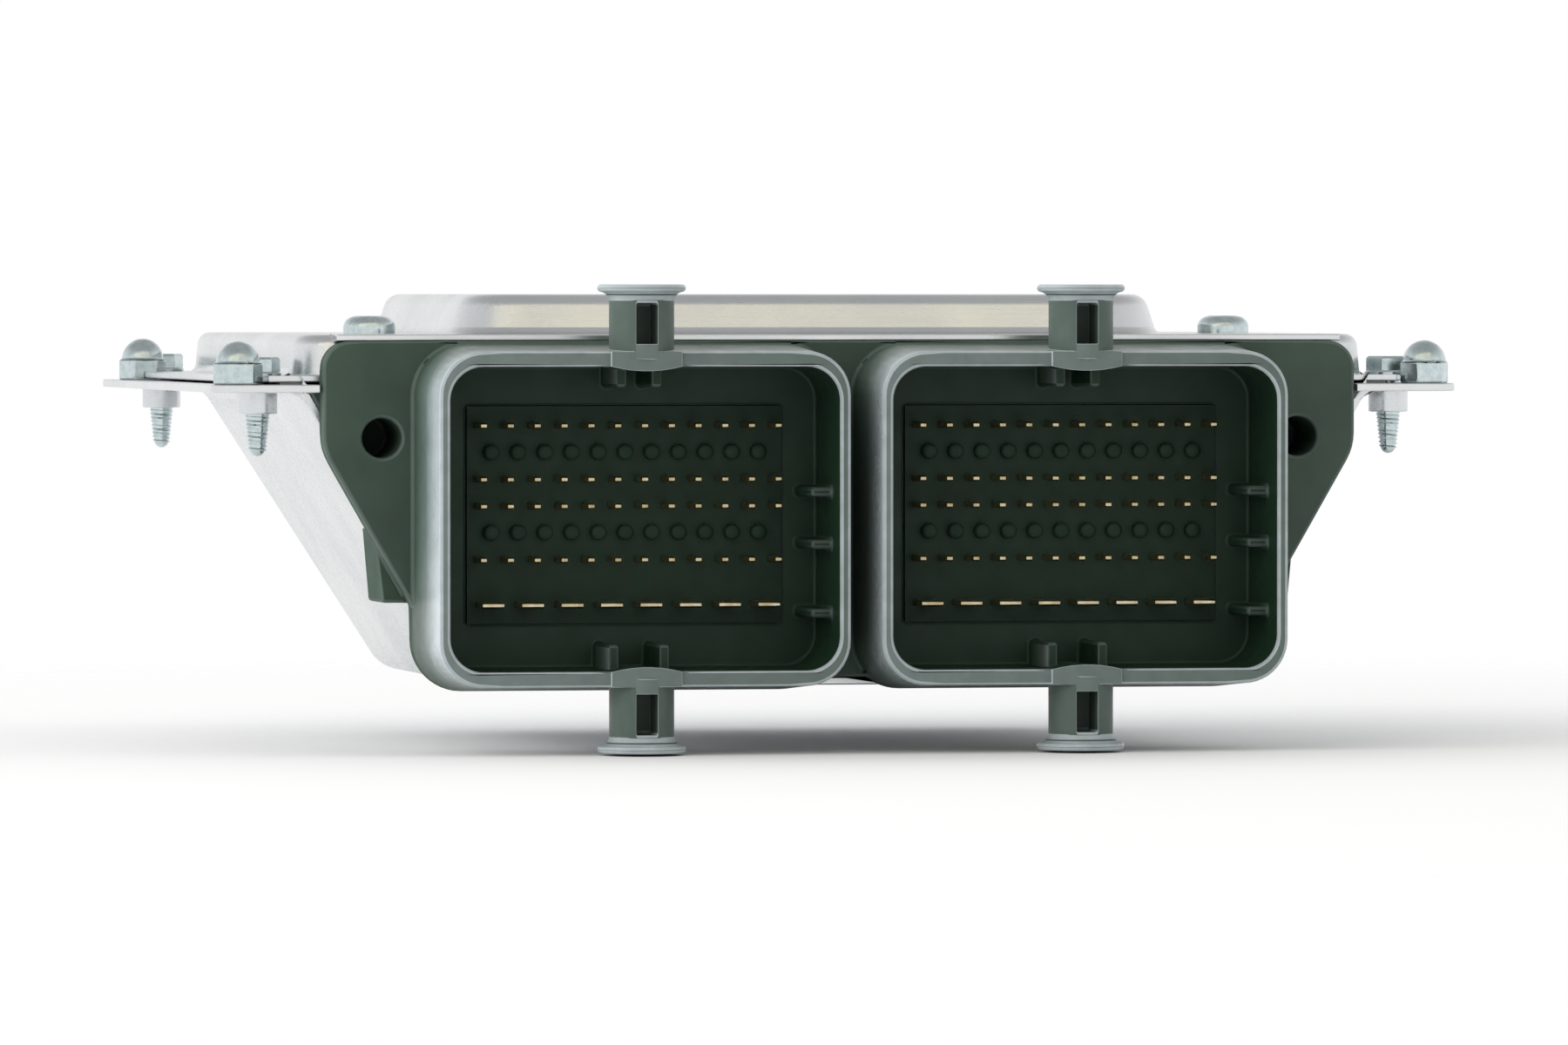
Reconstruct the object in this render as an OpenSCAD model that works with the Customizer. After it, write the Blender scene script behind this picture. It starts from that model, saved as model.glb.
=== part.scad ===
// Engine control unit: a plastic header with two connector shrouds closes the front of a
// two-piece aluminium housing that holds one circuit board.
// The origin lies midway between the two ear holes, on the front face of the header plate.
// +X runs to the right, +Y to the rear and +Z up.

/* [Header plate] */
// Distance of the plate's sides from the sides of the housing
plate_side_gap = 2.9; // [2:0.1:4]
// Thickness of the plate
plate_t = 3; // [2.5:0.1:3.5]
// Height of the plate's top edge above the ear holes
plate_top = 12.1; // [11:0.1:13]
// Drop of the plate's bottom edge below the ear holes
plate_drop = 30.15; // [29:0.05:32]
// Drop at which the sides of the plate begin to slope in
ear_drop = 1.45; // [0.5:0.05:3]
// Radius of the plate's upper corners
plate_corner_r = 3.5; // [2:0.5:5]
// Radius where the ears turn into the sloping sides
ear_turn_r = 7; // [2:0.5:10]
// Distance of the ear holes from the sides of the plate
ear_hole_inset = 7.45; // [7:0.05:8]
// Diameter of the ear holes
ear_hole_d = 5; // [4:0.1:5.5]
// Depth of the blind ear holes
ear_hole_depth = 12; // [8:0.5:14]
// Wall of the boss round each ear hole
ear_boss_wall = 1.5; // [1.2:0.1:2]
// Depth of the rear tongue that enters the housing
tongue_reach = 6; // [4:0.5:7]
// Wall of the rear tongue
tongue_t = 1.3; // [1:0.1:1.3]
// Depth of the outer corner blocks behind the plate
block_reach = 11; // [8:0.5:13]
// Drop of the flat bottom of the corner blocks
block_drop = 20.65; // [19:0.05:22]
// Width of the flat bottom of the corner blocks
block_w = 4.6; // [3:0.1:5]

/* [Connector shrouds] */
// Distance between the two shroud centres
shroud_pitch = 55.87; // [55:0.01:58]
// Drop of the shroud centres below the ear holes
shroud_drop = 9.95; // [9.5:0.05:10.5]
// Distance from the plate to the rim of a shroud
shroud_reach = 15; // [13:0.5:18]
// Width of a shroud cavity
cavity_w = 49.1; // [48:0.1:49.6]
// Height of a shroud cavity
cavity_h = 37.8; // [37:0.1:38.4]
// Corner radius of a shroud cavity
cavity_r = 4.2; // [3:0.1:5]
// Depth of a shroud cavity from its rim
cavity_depth = 15.5; // [15.2:0.1:16.5]
// Side wall of a shroud at its rim
rim_side_t = 1.35; // [1.1:0.05:1.5]
// Top and bottom wall of a shroud at its rim
rim_top_t = 1.9; // [1.6:0.05:2.2]
// Draft of the outer walls of a shroud in degrees
shroud_draft = 3.2; // [1:0.1:3.4]

/* [Lever posts] */
// Diameter of a post
post_d = 8.1; // [7.5:0.1:8.6]
// Length of a post beyond the shroud wall
post_len = 8.3; // [7.5:0.1:9.5]
// Distance of a post's axis behind the rim
post_setback = 3.3; // [3:0.1:4]
// Diameter of the end flange
post_flange_d = 11; // [10:0.1:12]
// Thickness of the end flange
post_flange_t = 0.9; // [0.7:0.1:1.2]
// Width of the window in a post
post_window_w = 2.75; // [2.2:0.05:3.2]
// Height of the window in a post
post_window_h = 5.1; // [4:0.1:5.4]
// Depth of the window in a post
post_window_depth = 5.6; // [4:0.1:6.5]

/* [Terminals] */
// Number of pin columns in a connector
pin_cols = 12; // [8:1:12]
// Distance between pin columns
pin_pitch = 3.4; // [3:0.05:3.4]
// Distance between neighbouring rows of the pin grid
row_pitch = 3.353; // [3.2:0.001:3.4]
// Drop of the first pin row below the cavity's top wall
first_row_drop = 7.4; // [7:0.1:8]
// Side of a square pin
pin_side = 0.8; // [0.6:0.05:0.9]
// Distance of the terminal tips behind the rim
tip_setback = 10; // [9:0.5:11]
// Number of power blades in a connector
blade_count = 8; // [5:1:8]
// Distance between power blades
blade_pitch = 5; // [4:0.1:5]
// Width of a power blade
blade_w = 2.8; // [2.2:0.1:3]
// Drop of the blade row below the last pin row
blade_row_gap = 5.65; // [5:0.05:6]
// Distance from the plate's front to the tails of the first pin row
first_tail_y = 13; // [12.5:0.1:14]
// Distance between the tail rows
tail_pitch = 3; // [2.4:0.1:3]

/* [Housing] */
// Height of the joint between cover and pan above the ear holes
split_z = 6.65; // [6:0.05:7.2]
// Outer width of the housing at the joint
housing_w = 138; // [137:0.5:139]
// Distance from the plate's front to the rear wall at the joint
housing_rear = 97; // [96:0.5:110]
// Outer width of the housing at its bottom
pan_bottom_w = 94.2; // [93:0.2:100]
// Thickness of the pan's sheet
pan_t = 1; // [0.8:0.1:1.1]
// Thickness of the cover's sheet
cover_t = 0.8; // [0.6:0.1:1.1]
// Width of each side flange
side_flange = 10.8; // [10:0.1:13]
// Depth of the rear flange
rear_flange = 7; // [6:0.5:10]
// Radius of the flange's outer corners
flange_r = 3; // [2:0.5:4]
// Radius of the pan's rear corners
pan_r = 8; // [6:0.5:10]
// Radius of the bends round the pan's bottom
pan_bend_r = 5; // [3:0.5:6]
// Thickness of the sealing bead between cover and pan
seal_t = 0.3; // [0.2:0.05:0.5]
// Width of the cover's shoulder on each side of its raised centre
shoulder_w = 23; // [21:0.5:27]
// Height of the cover's raised centre above its shoulder
plateau_h = 5.05; // [3:0.05:6]
// Distance from the plate's front to the raised centre
plateau_front = 16.6; // [14:0.1:30]
// Distance of the raised centre from the rear wall
plateau_rear_gap = 5; // [4:0.5:12]
// Slope of the raised centre's walls from the vertical in degrees
plateau_draft = 18; // [8:1:26]
// Radius of the pressed edge round the raised centre
plateau_edge_r = 2.2; // [1.6:0.1:2.6]
// Radius of the pressed edge round the shoulder
shoulder_edge_r = 1.6; // [1.4:0.1:2.2]

/* [Fasteners] */
// Distance of the cover screws from the sides of the housing
screw_out = 3.9; // [3.6:0.1:4.1]
// Distance from the plate's front to the front cover screws
screw_front = 9.7; // [9:0.1:12]
// Distance of the rear cover screws from the rear edge of the flange
screw_rear_inset = 9.3; // [8:0.1:12]
// Diameter of a cover screw
screw_d = 3.2; // [3:0.1:3.5]
// Length of a cover screw's tapered end below its collar
screw_tip = 5.3; // [4:0.1:7]
// Length of the collar drawn below the pan's flange
collar_len = 2.7; // [2:0.1:3.5]
// Distance of the cap nuts from the sides of the housing
nut_out = 7.2; // [7:0.1:7.4]
// Distance from the plate's front to the front cap nuts
nut_front = 4; // [3.8:0.1:4.2]
// Distance of the rear cap nuts from the rear edge of the flange
nut_rear_inset = 15; // [14.5:0.1:18]
// Width across the flats of a cap nut
nut_flats = 5.5; // [5:0.1:5.6]
// Height of the hexagon of a cap nut
nut_hex_h = 2.7; // [2.2:0.1:3]
// Diameter of the mounting hole below each cap nut
mount_hole_d = 3.2; // [2.5:0.1:3.4]
// Distance of the header screws from the sides of the housing
header_screw_inset = 13.3; // [12.8:0.1:14]
// Distance from the plate's front to the header screws
header_screw_y = 28.5; // [28:0.1:30]
// Diameter of a header screw
header_screw_d = 3; // [2.6:0.1:3.4]

/* [Circuit board] */
// Distance of the board's sides from the sides of the housing
board_side_gap = 4.5; // [4:0.1:6]
// Thickness of the board
board_t = 1.6; // [1.2:0.1:1.7]
// Distance from the plate's front to the board's front edge
board_front = 10; // [9.8:0.1:10.4]
// Distance of the board's rear edge from the rear wall of the housing
board_rear_gap = 5; // [4.5:0.1:7]
// Depth of the board's underside below the housing joint
board_drop = 1; // [0.6:0.1:1.4]
// Diameter of a capacitor can
can_d = 12.5; // [8:0.5:13]
// Length of a capacitor can
can_len = 20; // [12:0.5:24]

/* [Hidden] */
$fn = 48;
eps = 0.01;
fit_gap = 0.1;
press_gap = 0.02;

plastic_black = "#2b302e";
carrier_black = "#232725";
gold = "#d8b45c";
tin = "#c9ccce";
aluminium = "#d5d8da";
zinc = "#b9c4c8";
sealant_grey = "#6f7476";
board_green = "#1f5a3a";
chip_black = "#1d1e20";
pad_grey = "#8d97a3";
can_grey = "#9aa1a8";
ferrite = "#3a3b3d";
copper = "#b56a35";
ceramic_tan = "#b79a74";

// Sizes across the unit, all from the housing's sides
plate_w = housing_w - 2 * plate_side_gap;
ear_hole_pitch = plate_w - 2 * ear_hole_inset;
tongue_side_inset = 3.8;
tongue_half_w = plate_w / 2 - tongue_side_inset;
tongue_gap = 0.3;
flange_w = housing_w + 2 * side_flange;
plateau_w = housing_w - 2 * shoulder_w;
screw_pitch_x = housing_w + 2 * screw_out;
nut_pitch_x = housing_w + 2 * nut_out;
header_screw_pitch = housing_w - 2 * header_screw_inset;
board_w = housing_w - 2 * board_side_gap;

// Heights and reaches that several pieces share
shroud_z = -shroud_drop;
rim_y = -shroud_reach;
floor_y = rim_y + cavity_depth;
cavity_top = cavity_h / 2;
rim_w = cavity_w + 2 * rim_side_t;
rim_h = cavity_h + 2 * rim_top_t;
shroud_len = shroud_reach + plate_t;
draft_grow = shroud_len * tan(shroud_draft);
rim_outer_r = cavity_r + rim_side_t;
pan_bottom = -plate_drop - fit_gap;
pan_low = pan_bottom - pan_t;
pan_slope = atan((housing_w - pan_bottom_w) / 2 / (split_z - pan_low));
pan_front = plate_t + seal_t;
cover_under = plate_top;
cover_top = cover_under + cover_t;
cover_flange_z = split_z + seal_t;
flange_rear = housing_rear + rear_flange;
screw_ys = [screw_front, flange_rear - screw_rear_inset];
nut_ys = [nut_front, flange_rear - nut_rear_inset];
screw_places = [for (x = [-1, 1], y = screw_ys) [x * screw_pitch_x / 2, y]];
nut_places = [for (x = [-1, 1], y = nut_ys) [x * nut_pitch_x / 2, y]];
header_screw_places = [for (x = [-1, 1]) [x * header_screw_pitch / 2, header_screw_y]];

// Places on the circuit board, from its sides, its rear edge or its middle
board_z = split_z - board_drop;
board_face = board_z + board_t;
board_rear = housing_rear - board_rear_gap;
board_mid = (board_front + board_rear) / 2;
standoff_side_inset = 9.5;
standoff_rear_inset = 6;
standoff_x = board_w / 2 - standoff_side_inset;
standoff_places = [for (x = [-1, 1]) [x * standoff_x, board_rear - standoff_rear_inset]];
standoff_d = 6;
standoff_thread_d = 3;
hot_column_inset = 8.1;
hot_column_x = board_w / 2 - hot_column_inset;
driver_step = 15.5;
transistor_step = 11.5;
hot_shift = 4;
driver_ys = [for (i = [-1:1]) board_mid + hot_shift + i * driver_step];
transistor_ys = [for (i = [-1.5:1.5]) board_mid + hot_shift + i * transistor_step];
controller_place = [-6, 1];
memory_place = [20, -7];
signal_chip_places = [[-34, 7], [-34, 21], [20, 7], [20, 21]];
regulator_place = [38, 13];
diode_place = [38, 25];
crystal_place = [-30, -5];
sensor_place = [-32, 31];
small_part_rows = [-18.5, -15];
small_part_step = 4;
capacitor_places = [[-24, 15], [0, 15], [24, 15]];
choke_place = [38, -5];
choke_d = 15;
choke_h = 12;
choke_flange_t = 1.6;
choke_hub_d = 7;
fine_pitch = 1.27;
driver_h = 3.2;
transistor_h = 4.2;

// Rows of the terminal grid: the pins stand in the first, third, fourth and sixth row
pin_rows = [0, 2, 3, 5];
bump_rows = [1, 4];
row_1_z = shroud_z + cavity_top - first_row_drop;
blade_z = row_1_z - pin_rows[3] * row_pitch - blade_row_gap;
blade_t = 0.8;
tip_y = rim_y + tip_setback;
tail_over = 1.2;
blade_tail_gap = 1;
blade_tail_y = first_tail_y + len(pin_rows) * tail_pitch + blade_tail_gap;
carrier_margin = 0.9;
carrier_end_margin = 2.4;
pin_field_w = (pin_cols - 1) * pin_pitch + pin_side;
blade_field_w = (blade_count - 1) * blade_pitch + blade_w;
carrier_half_w = max(pin_field_w, blade_field_w) / 2 + carrier_margin;
carrier_top = row_1_z + carrier_end_margin;
carrier_bottom = blade_z - carrier_end_margin;
carrier_lip = 1.2;
carrier_lip_t = 3;
carrier_proud = 0.4;

function pin_x(c) = (c - (pin_cols - 1) / 2) * pin_pitch;
function pin_z(r) = row_1_z - pin_rows[r] * row_pitch;
function tail_y(r) = first_tail_y + r * tail_pitch;
function blade_x(b) = (b - (blade_count - 1) / 2) * blade_pitch;
function wall_x(z, inset) = housing_w / 2 - (split_z - z) * tan(pan_slope) - inset / cos(pan_slope);

// Extrudes an outline drawn in X and Z from y0 to y1
module along_y(y0, y1) {
    translate([0, y1, 0])
        rotate([90, 0, 0])
            linear_extrude(y1 - y0)
                children();
}

// Extrudes an outline drawn in Y and Z from x0 to x1
module along_x(x0, x1) {
    translate([x0, 0, 0])
        rotate([90, 0, 90])
            linear_extrude(x1 - x0)
                children();
}

module at(places, z) {
    for (p = places)
        translate([p[0], p[1], z])
            children();
}

module block(x0, x1, y0, y1, z0, z1) {
    translate([x0, y0, z0])
        cube([x1 - x0, y1 - y0, z1 - z0]);
}

module rounded_rect(w, h, r) {
    square([w - 2 * r, h], center = true);
    square([w, h - 2 * r], center = true);
    for (x = [-1, 1], y = [-1, 1])
        translate([x * (w / 2 - r), y * (h / 2 - r)])
            circle(r);
}

// A box with round upright corners whose four walls lean in by the draft angle
module drafted_box(w, d, h, r, draft) {
    lean = h * tan(draft);
    along_y(r - d / 2, d / 2 - r)
        polygon([[-w / 2, 0], [w / 2, 0], [w / 2 - lean, h], [lean - w / 2, h]]);
    along_x(r - w / 2, w / 2 - r)
        polygon([[-d / 2, 0], [d / 2, 0], [d / 2 - lean, h], [lean - d / 2, h]]);
    for (x = [-1, 1], y = [-1, 1])
        translate([x * (w / 2 - r), y * (d / 2 - r), 0])
            cylinder(h = h, r1 = r, r2 = r - lean);
}

// Section of the pan up to the housing joint, set in from its outer face, corners cut for the bends
module pan_outline(inset) {
    low = pan_low + inset;
    cut = pan_bend_r * tan((90 - pan_slope) / 2);
    knee = low + cut * cos(pan_slope);
    foot = wall_x(low, inset) - cut;
    polygon([[-wall_x(split_z, inset), split_z], [wall_x(split_z, inset), split_z],
             [wall_x(knee, inset), knee], [foot, low], [-foot, low], [-wall_x(knee, inset), knee]]);
}

// Header: plate, shrouds, lever posts and the rear tongue that closes the housing
module plate_outline() {
    half = plate_w / 2;
    r = plate_corner_r;
    foot = half - (plate_drop - ear_drop) * tan(pan_slope);
    turn = ear_turn_r * tan(pan_slope / 2);
    turn_z = turn - ear_drop;
    side = half - turn * sin(pan_slope);
    side_z = -ear_drop - turn * cos(pan_slope);
    polygon([[-half, plate_top - r], [r - half, plate_top], [half - r, plate_top], [half, plate_top - r],
             [half, turn_z], [side, side_z], [foot, -plate_drop], [-foot, -plate_drop],
             [-side, side_z], [-half, turn_z]]);
    for (x = [-1, 1]) {
        translate([x * (half - r), plate_top - r])
            circle(r);
        translate([x * (half - ear_turn_r), turn_z])
            circle(ear_turn_r);
    }
}

module shroud_body() {
    translate([0, plate_t, 0])
        rotate([90, 0, 0])
            drafted_box(rim_w + 2 * draft_grow, rim_h + 2 * draft_grow, shroud_len,
                        rim_outer_r + draft_grow, shroud_draft);
}

module lever_post() {
    root = cavity_top + rim_top_t / 2;
    end = rim_h / 2 + post_len;
    flare = (post_flange_d - post_d) / 4;
    translate([0, rim_y + post_setback, 0])
        rotate_extrude()
            polygon([[0, root], [post_d / 2, root], [post_d / 2, end - post_flange_t - flare],
                     [post_d / 2 + flare, end - post_flange_t], [post_flange_d / 2, end - post_flange_t],
                     [post_flange_d / 2, end], [0, end]]);
}

// The rim swells into the cavity below each post
module post_collar() {
    width = post_d + 0.8;
    swell = 0.55;
    swell_r = 17.6;
    proud = 0.5;
    along_y(rim_y - proud, rim_y + 2 * post_setback)
        intersection() {
            translate([-width / 2, cavity_top - swell])
                square([width, swell + rim_top_t]);
            translate([0, cavity_top - swell + swell_r])
                circle(swell_r);
        }
}

module post_window() {
    lift = 0.9;
    front = rim_y + post_setback - post_d / 2;
    block(-post_window_w / 2, post_window_w / 2, front - 1, front + post_window_depth,
          rim_h / 2 + lift, rim_h / 2 + lift + post_window_h);
}

// Guide ribs at the middle of the cavity's top and bottom, and keys on its right wall
module cavity_ribs() {
    rib_y = rim_y + 5;
    guide_w = 1.2;
    upper_x = 2.2;
    upper_h = 2.6;
    lower_x = 3.2;
    lower_h = 3.2;
    key_zs = [3.2, -3.3, -11.9];
    key_w = 2.7;
    key_t = 1.1;
    along_y(rib_y, floor_y + eps) {
        for (x = [-1, 1]) {
            translate([x * upper_x - guide_w / 2, cavity_top - upper_h])
                square([guide_w, upper_h + eps]);
            translate([x * lower_x - guide_w / 2, -cavity_top - eps])
                square([guide_w, lower_h + eps]);
        }
        for (z = key_zs)
            translate([cavity_w / 2 - key_w, z - key_t / 2])
                square([key_w + eps, key_t]);
    }
}

module carrier_window(gap) {
    along_y(floor_y - eps, plate_t + eps)
        translate([-carrier_half_w - gap, carrier_bottom - gap - shroud_z])
            square([2 * (carrier_half_w + gap), carrier_top - carrier_bottom + 2 * gap]);
}

module tongue() {
    inset = pan_t + tongue_gap;
    along_y(plate_t - eps, plate_t + tongue_reach)
        difference() {
            union() {
                pan_outline(inset);
                translate([-tongue_half_w, split_z - eps])
                    square([2 * tongue_half_w, plate_top - split_z + eps]);
            }
            pan_outline(inset + tongue_t);
            translate([tongue_t - tongue_half_w, 0])
                square([2 * (tongue_half_w - tongue_t), plate_top - tongue_t]);
        }
}

// Arms that carry the front of the board and take the header screws
arm_half_w = 3.5;
arm_t = 3.5;
module header_arms() {
    for (p = header_screw_places) {
        block(p[0] - arm_half_w, p[0] + arm_half_w, plate_t - eps, p[1], board_z - arm_t, board_z);
        translate([p[0], p[1], board_z - arm_t])
            cylinder(h = arm_t, r = arm_half_w);
        translate([p[0], p[1], board_z - eps])
            cylinder(h = cover_under - board_z + eps, r = arm_half_w);
    }
}

// Blocks outside the pan's sloping walls, behind the lower ears
module corner_blocks() {
    lean = 0.8;
    inner = wall_x(-block_drop, -tongue_gap);
    upper_z = (block_w + lean) / tan(pan_slope) - block_drop;
    for (side = [0, 1])
        mirror([side, 0, 0])
            along_y(plate_t - eps, plate_t + block_reach)
                polygon([[inner + block_w + lean, upper_z], [inner + block_w, -block_drop],
                         [inner, -block_drop]]);
}

module at_shrouds() {
    for (x = [-1, 1])
        translate([x * shroud_pitch / 2, 0, shroud_z])
            children();
}

module above_and_below() {
    children();
    mirror([0, 0, 1])
        children();
}

module ear_cylinders(y0, y1, d) {
    for (x = [-1, 1])
        translate([x * ear_hole_pitch / 2, 0, 0])
            along_y(y0, y1)
                circle(d / 2);
}

// Bosses round the ear holes, kept inside the tongue's outer face
module ear_bosses() {
    reach = ear_hole_depth + ear_boss_wall;
    intersection() {
        ear_cylinders(plate_t - eps, reach, ear_hole_d + 2 * ear_boss_wall);
        along_y(0, reach + 1)
            pan_outline(pan_t + tongue_gap);
    }
}

module header_body() {
    along_y(0, plate_t)
        plate_outline();
    tongue();
    header_arms();
    corner_blocks();
    ear_bosses();
    at_shrouds() {
        shroud_body();
        above_and_below()
            lever_post();
    }
}

module connector_header() {
    color(plastic_black) {
        difference() {
            header_body();
            ear_cylinders(-1, ear_hole_depth, ear_hole_d);
            at_shrouds() {
                along_y(rim_y - 1, floor_y)
                    rounded_rect(cavity_w, cavity_h, cavity_r);
                carrier_window(press_gap);
                above_and_below()
                    post_window();
            }
            at(header_screw_places, board_z - arm_t - 1)
                cylinder(h = cover_under - board_z + arm_t + 2, d = header_screw_d);
        }
        at_shrouds() {
            above_and_below()
                post_collar();
            cavity_ribs();
        }
    }
}

// Carrier: the block that holds the terminals of one connector
module pin_carrier(side) {
    bump_d = 2;
    bump_h = 0.9;
    face_y = floor_y - carrier_proud;
    translate([side * shroud_pitch / 2, 0, 0])
        difference() {
            union() {
                block(-carrier_half_w, carrier_half_w, face_y, plate_t + carrier_lip_t,
                      carrier_bottom, carrier_top);
                block(-carrier_half_w, carrier_half_w, plate_t, plate_t + carrier_lip_t,
                      carrier_bottom - carrier_lip, carrier_top + carrier_lip);
                for (r = bump_rows, c = [0:pin_cols - 2])
                    translate([pin_x(c + 0.5), 0, row_1_z - r * row_pitch])
                        along_y(face_y - bump_h, face_y + eps)
                            circle(bump_d / 2);
            }
            for (r = [0:len(pin_rows) - 1], c = [0:pin_cols - 1])
                translate([pin_x(c), 0, pin_z(r)])
                    along_y(face_y - 1, plate_t + carrier_lip_t + 1)
                        square(pin_side + 2 * press_gap, center = true);
            for (b = [0:blade_count - 1])
                translate([blade_x(b), 0, blade_z])
                    along_y(face_y - 1, plate_t + carrier_lip_t + 1)
                        square([blade_w, blade_t] + 2 * [press_gap, press_gap], center = true);
        }
}

module left_pin_carrier() {
    color(carrier_black)
        pin_carrier(-1);
}

module right_pin_carrier() {
    color(carrier_black)
        pin_carrier(1);
}

// Terminal: a strip with a chamfered tip that turns up into the board
module terminal(x, z, width, t, bend_y) {
    half = t / 2;
    chamfer = t / 4;
    end_z = board_face + tail_over;
    along_x(x - width / 2, x + width / 2)
        polygon([[tip_y, z - half + chamfer], [tip_y + 2 * chamfer, z - half],
                 [bend_y + half, z - half], [bend_y + half, end_z],
                 [bend_y - half, end_z], [bend_y - half, z + half],
                 [tip_y + 2 * chamfer, z + half], [tip_y, z + half - chamfer]]);
}

module signal_pins(side) {
    for (r = [0:len(pin_rows) - 1], c = [0:pin_cols - 1])
        terminal(side * shroud_pitch / 2 + pin_x(c), pin_z(r), pin_side, pin_side, tail_y(r));
}

module power_blades(side) {
    for (b = [0:blade_count - 1])
        terminal(side * shroud_pitch / 2 + blade_x(b), blade_z, blade_w, blade_t, blade_tail_y);
}

module left_signal_pins() {
    color(gold)
        signal_pins(-1);
}

module right_signal_pins() {
    color(gold)
        signal_pins(1);
}

module left_power_blades() {
    color(tin)
        power_blades(-1);
}

module right_power_blades() {
    color(tin)
        power_blades(1);
}

// Housing: pan, cover and the sealing beads between them
module flange_outline() {
    translate([0, flange_rear / 2])
        rounded_rect(flange_w, flange_rear, flange_r);
}

// The pan's hollow, set in from its outer face and open at the front
module pan_basin(inset, front) {
    thin = 0.02;
    top_half = wall_x(split_z, inset);
    top_rear = housing_rear - inset / cos(pan_slope);
    low = pan_low + inset;
    bend = pan_bend_r - inset;
    turn = bend * tan((90 - pan_slope) / 2);
    low_half = wall_x(low, inset) - turn;
    low_rear = top_rear - (split_z - low) * tan(pan_slope) - turn;
    r = pan_r - inset;
    hull() {
        for (x = [-1, 1]) {
            translate([x * (top_half - r), top_rear - r, split_z - thin])
                cylinder(h = thin, r = r, $fn = 32);
            translate([x * low_half, low_rear, low + bend])
                sphere(bend, $fn = 32);
            translate([x * low_half, front, low + bend])
                rotate([-90, 0, 0])
                    cylinder(h = thin, r = bend, $fn = 32);
            translate([x * (top_half - thin / 2), front + thin / 2, split_z - thin / 2])
                cube(thin, center = true);
        }
    }
}

module bottom_pan() {
    collar_wall = 0.9;
    front_half = plate_w / 2 + tongue_gap;
    color(aluminium)
        difference() {
            union() {
                translate([0, 0, split_z - pan_t])
                    linear_extrude(pan_t)
                        difference() {
                            flange_outline();
                            translate([-front_half, -1])
                                square([2 * front_half, pan_front + 1]);
                        }
                pan_basin(0, pan_front);
                at(screw_places, split_z - pan_t - collar_len)
                    cylinder(h = collar_len + eps, d = screw_d + 2 * collar_wall);
            }
            pan_basin(pan_t, pan_front - 1);
            at(screw_places, split_z - pan_t - collar_len - 1)
                cylinder(h = collar_len + pan_t + 2, d = screw_d + 2 * press_gap);
            at(nut_places, split_z - pan_t - 1)
                cylinder(h = pan_t + 2, d = mount_hole_d);
        }
}

shoulder_h = cover_top - cover_flange_z;
shoulder_r = 6;
shoulder_draft = 6;
lip_side_inset = 1.8;
lip_half_w = plate_w / 2 - lip_side_inset;
lip_front = 0.4;
cover_side_flange = 7.4;
cover_flange_half_w = housing_w / 2 + cover_side_flange;
nut_gap = 0.6;
nut_clear_r = nut_flats / 2 / cos(30) + nut_gap;
plateau_r = 9;

screw_gap = 0.6;
plateau_rear = housing_rear - plateau_rear_gap;

// Section of one wall of a pressing: it leans in and turns into the top on an arc
module wall_section(r, h, draft, edge_r) {
    centre = r - (h - edge_r) * tan(draft) - edge_r / cos(draft);
    polygon([[0, 0], [r, 0], [centre + edge_r * cos(draft), h - edge_r + edge_r * sin(draft)],
             [centre, h], [0, h]]);
    translate([centre, h - edge_r])
        circle(edge_r);
}

module wall_pair_section(span, r, h, draft, edge_r) {
    translate([-span / 2, 0])
        square([span, h]);
    for (side = [0, 1])
        mirror([side, 0])
            translate([span / 2, 0])
                wall_section(r, h, draft, edge_r);
}

// A pressing with round corners, leaning walls and a rounded upper edge
module pressed_box(w, d, h, r, draft, edge_r) {
    along_y(r - d / 2, d / 2 - r)
        wall_pair_section(w - 2 * r, r, h, draft, edge_r);
    along_x(r - w / 2, w / 2 - r)
        wall_pair_section(d - 2 * r, r, h, draft, edge_r);
    for (x = [-1, 1], y = [-1, 1])
        translate([x * (w / 2 - r), y * (d / 2 - r), 0])
            rotate_extrude()
                wall_section(r, h, draft, edge_r);
}

// Shoulder and raised centre of the cover, both set in by the same amount
module cover_tiers(inset) {
    shoulder_d = housing_rear - pan_front;
    plateau_d = plateau_rear - plateau_front;
    open_below = inset > 0 ? eps : 0;
    translate([0, pan_front + shoulder_d / 2, cover_flange_z - open_below])
        pressed_box(housing_w - 2 * inset, shoulder_d - 2 * inset, shoulder_h - inset + open_below,
                    shoulder_r - inset, shoulder_draft, shoulder_edge_r - inset);
    translate([0, plateau_front + plateau_d / 2, cover_top - inset - eps])
        pressed_box(plateau_w - 2 * inset, plateau_d - 2 * inset, plateau_h + eps,
                    plateau_r - inset, plateau_draft, plateau_edge_r - inset);
}

// Flange of the cover, notched round the cap nuts
module cover_flange() {
    translate([0, 0, cover_flange_z])
        linear_extrude(cover_t)
            difference() {
                intersection() {
                    flange_outline();
                    translate([-cover_flange_half_w, pan_front])
                        square([2 * cover_flange_half_w, flange_rear]);
                }
                for (p = nut_places)
                    translate(p)
                        circle(nut_clear_r);
            }
}

module top_cover() {
    mouth_half_w = tongue_half_w + tongue_gap;
    color(aluminium)
        difference() {
            union() {
                cover_flange();
                cover_tiers(0);
                block(-lip_half_w, lip_half_w, lip_front, pan_front + shoulder_r, cover_under, cover_top);
            }
            cover_tiers(cover_t);
            block(-mouth_half_w, mouth_half_w, pan_front - 1, pan_front + shoulder_r,
                  cover_flange_z - 1, cover_under);
            at(screw_places, cover_flange_z - 1)
                cylinder(h = cover_t + 2, d = screw_d + screw_gap);
            at(header_screw_places, cover_under - 1)
                cylinder(h = cover_t + 2, d = header_screw_d + screw_gap);
        }
}

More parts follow.
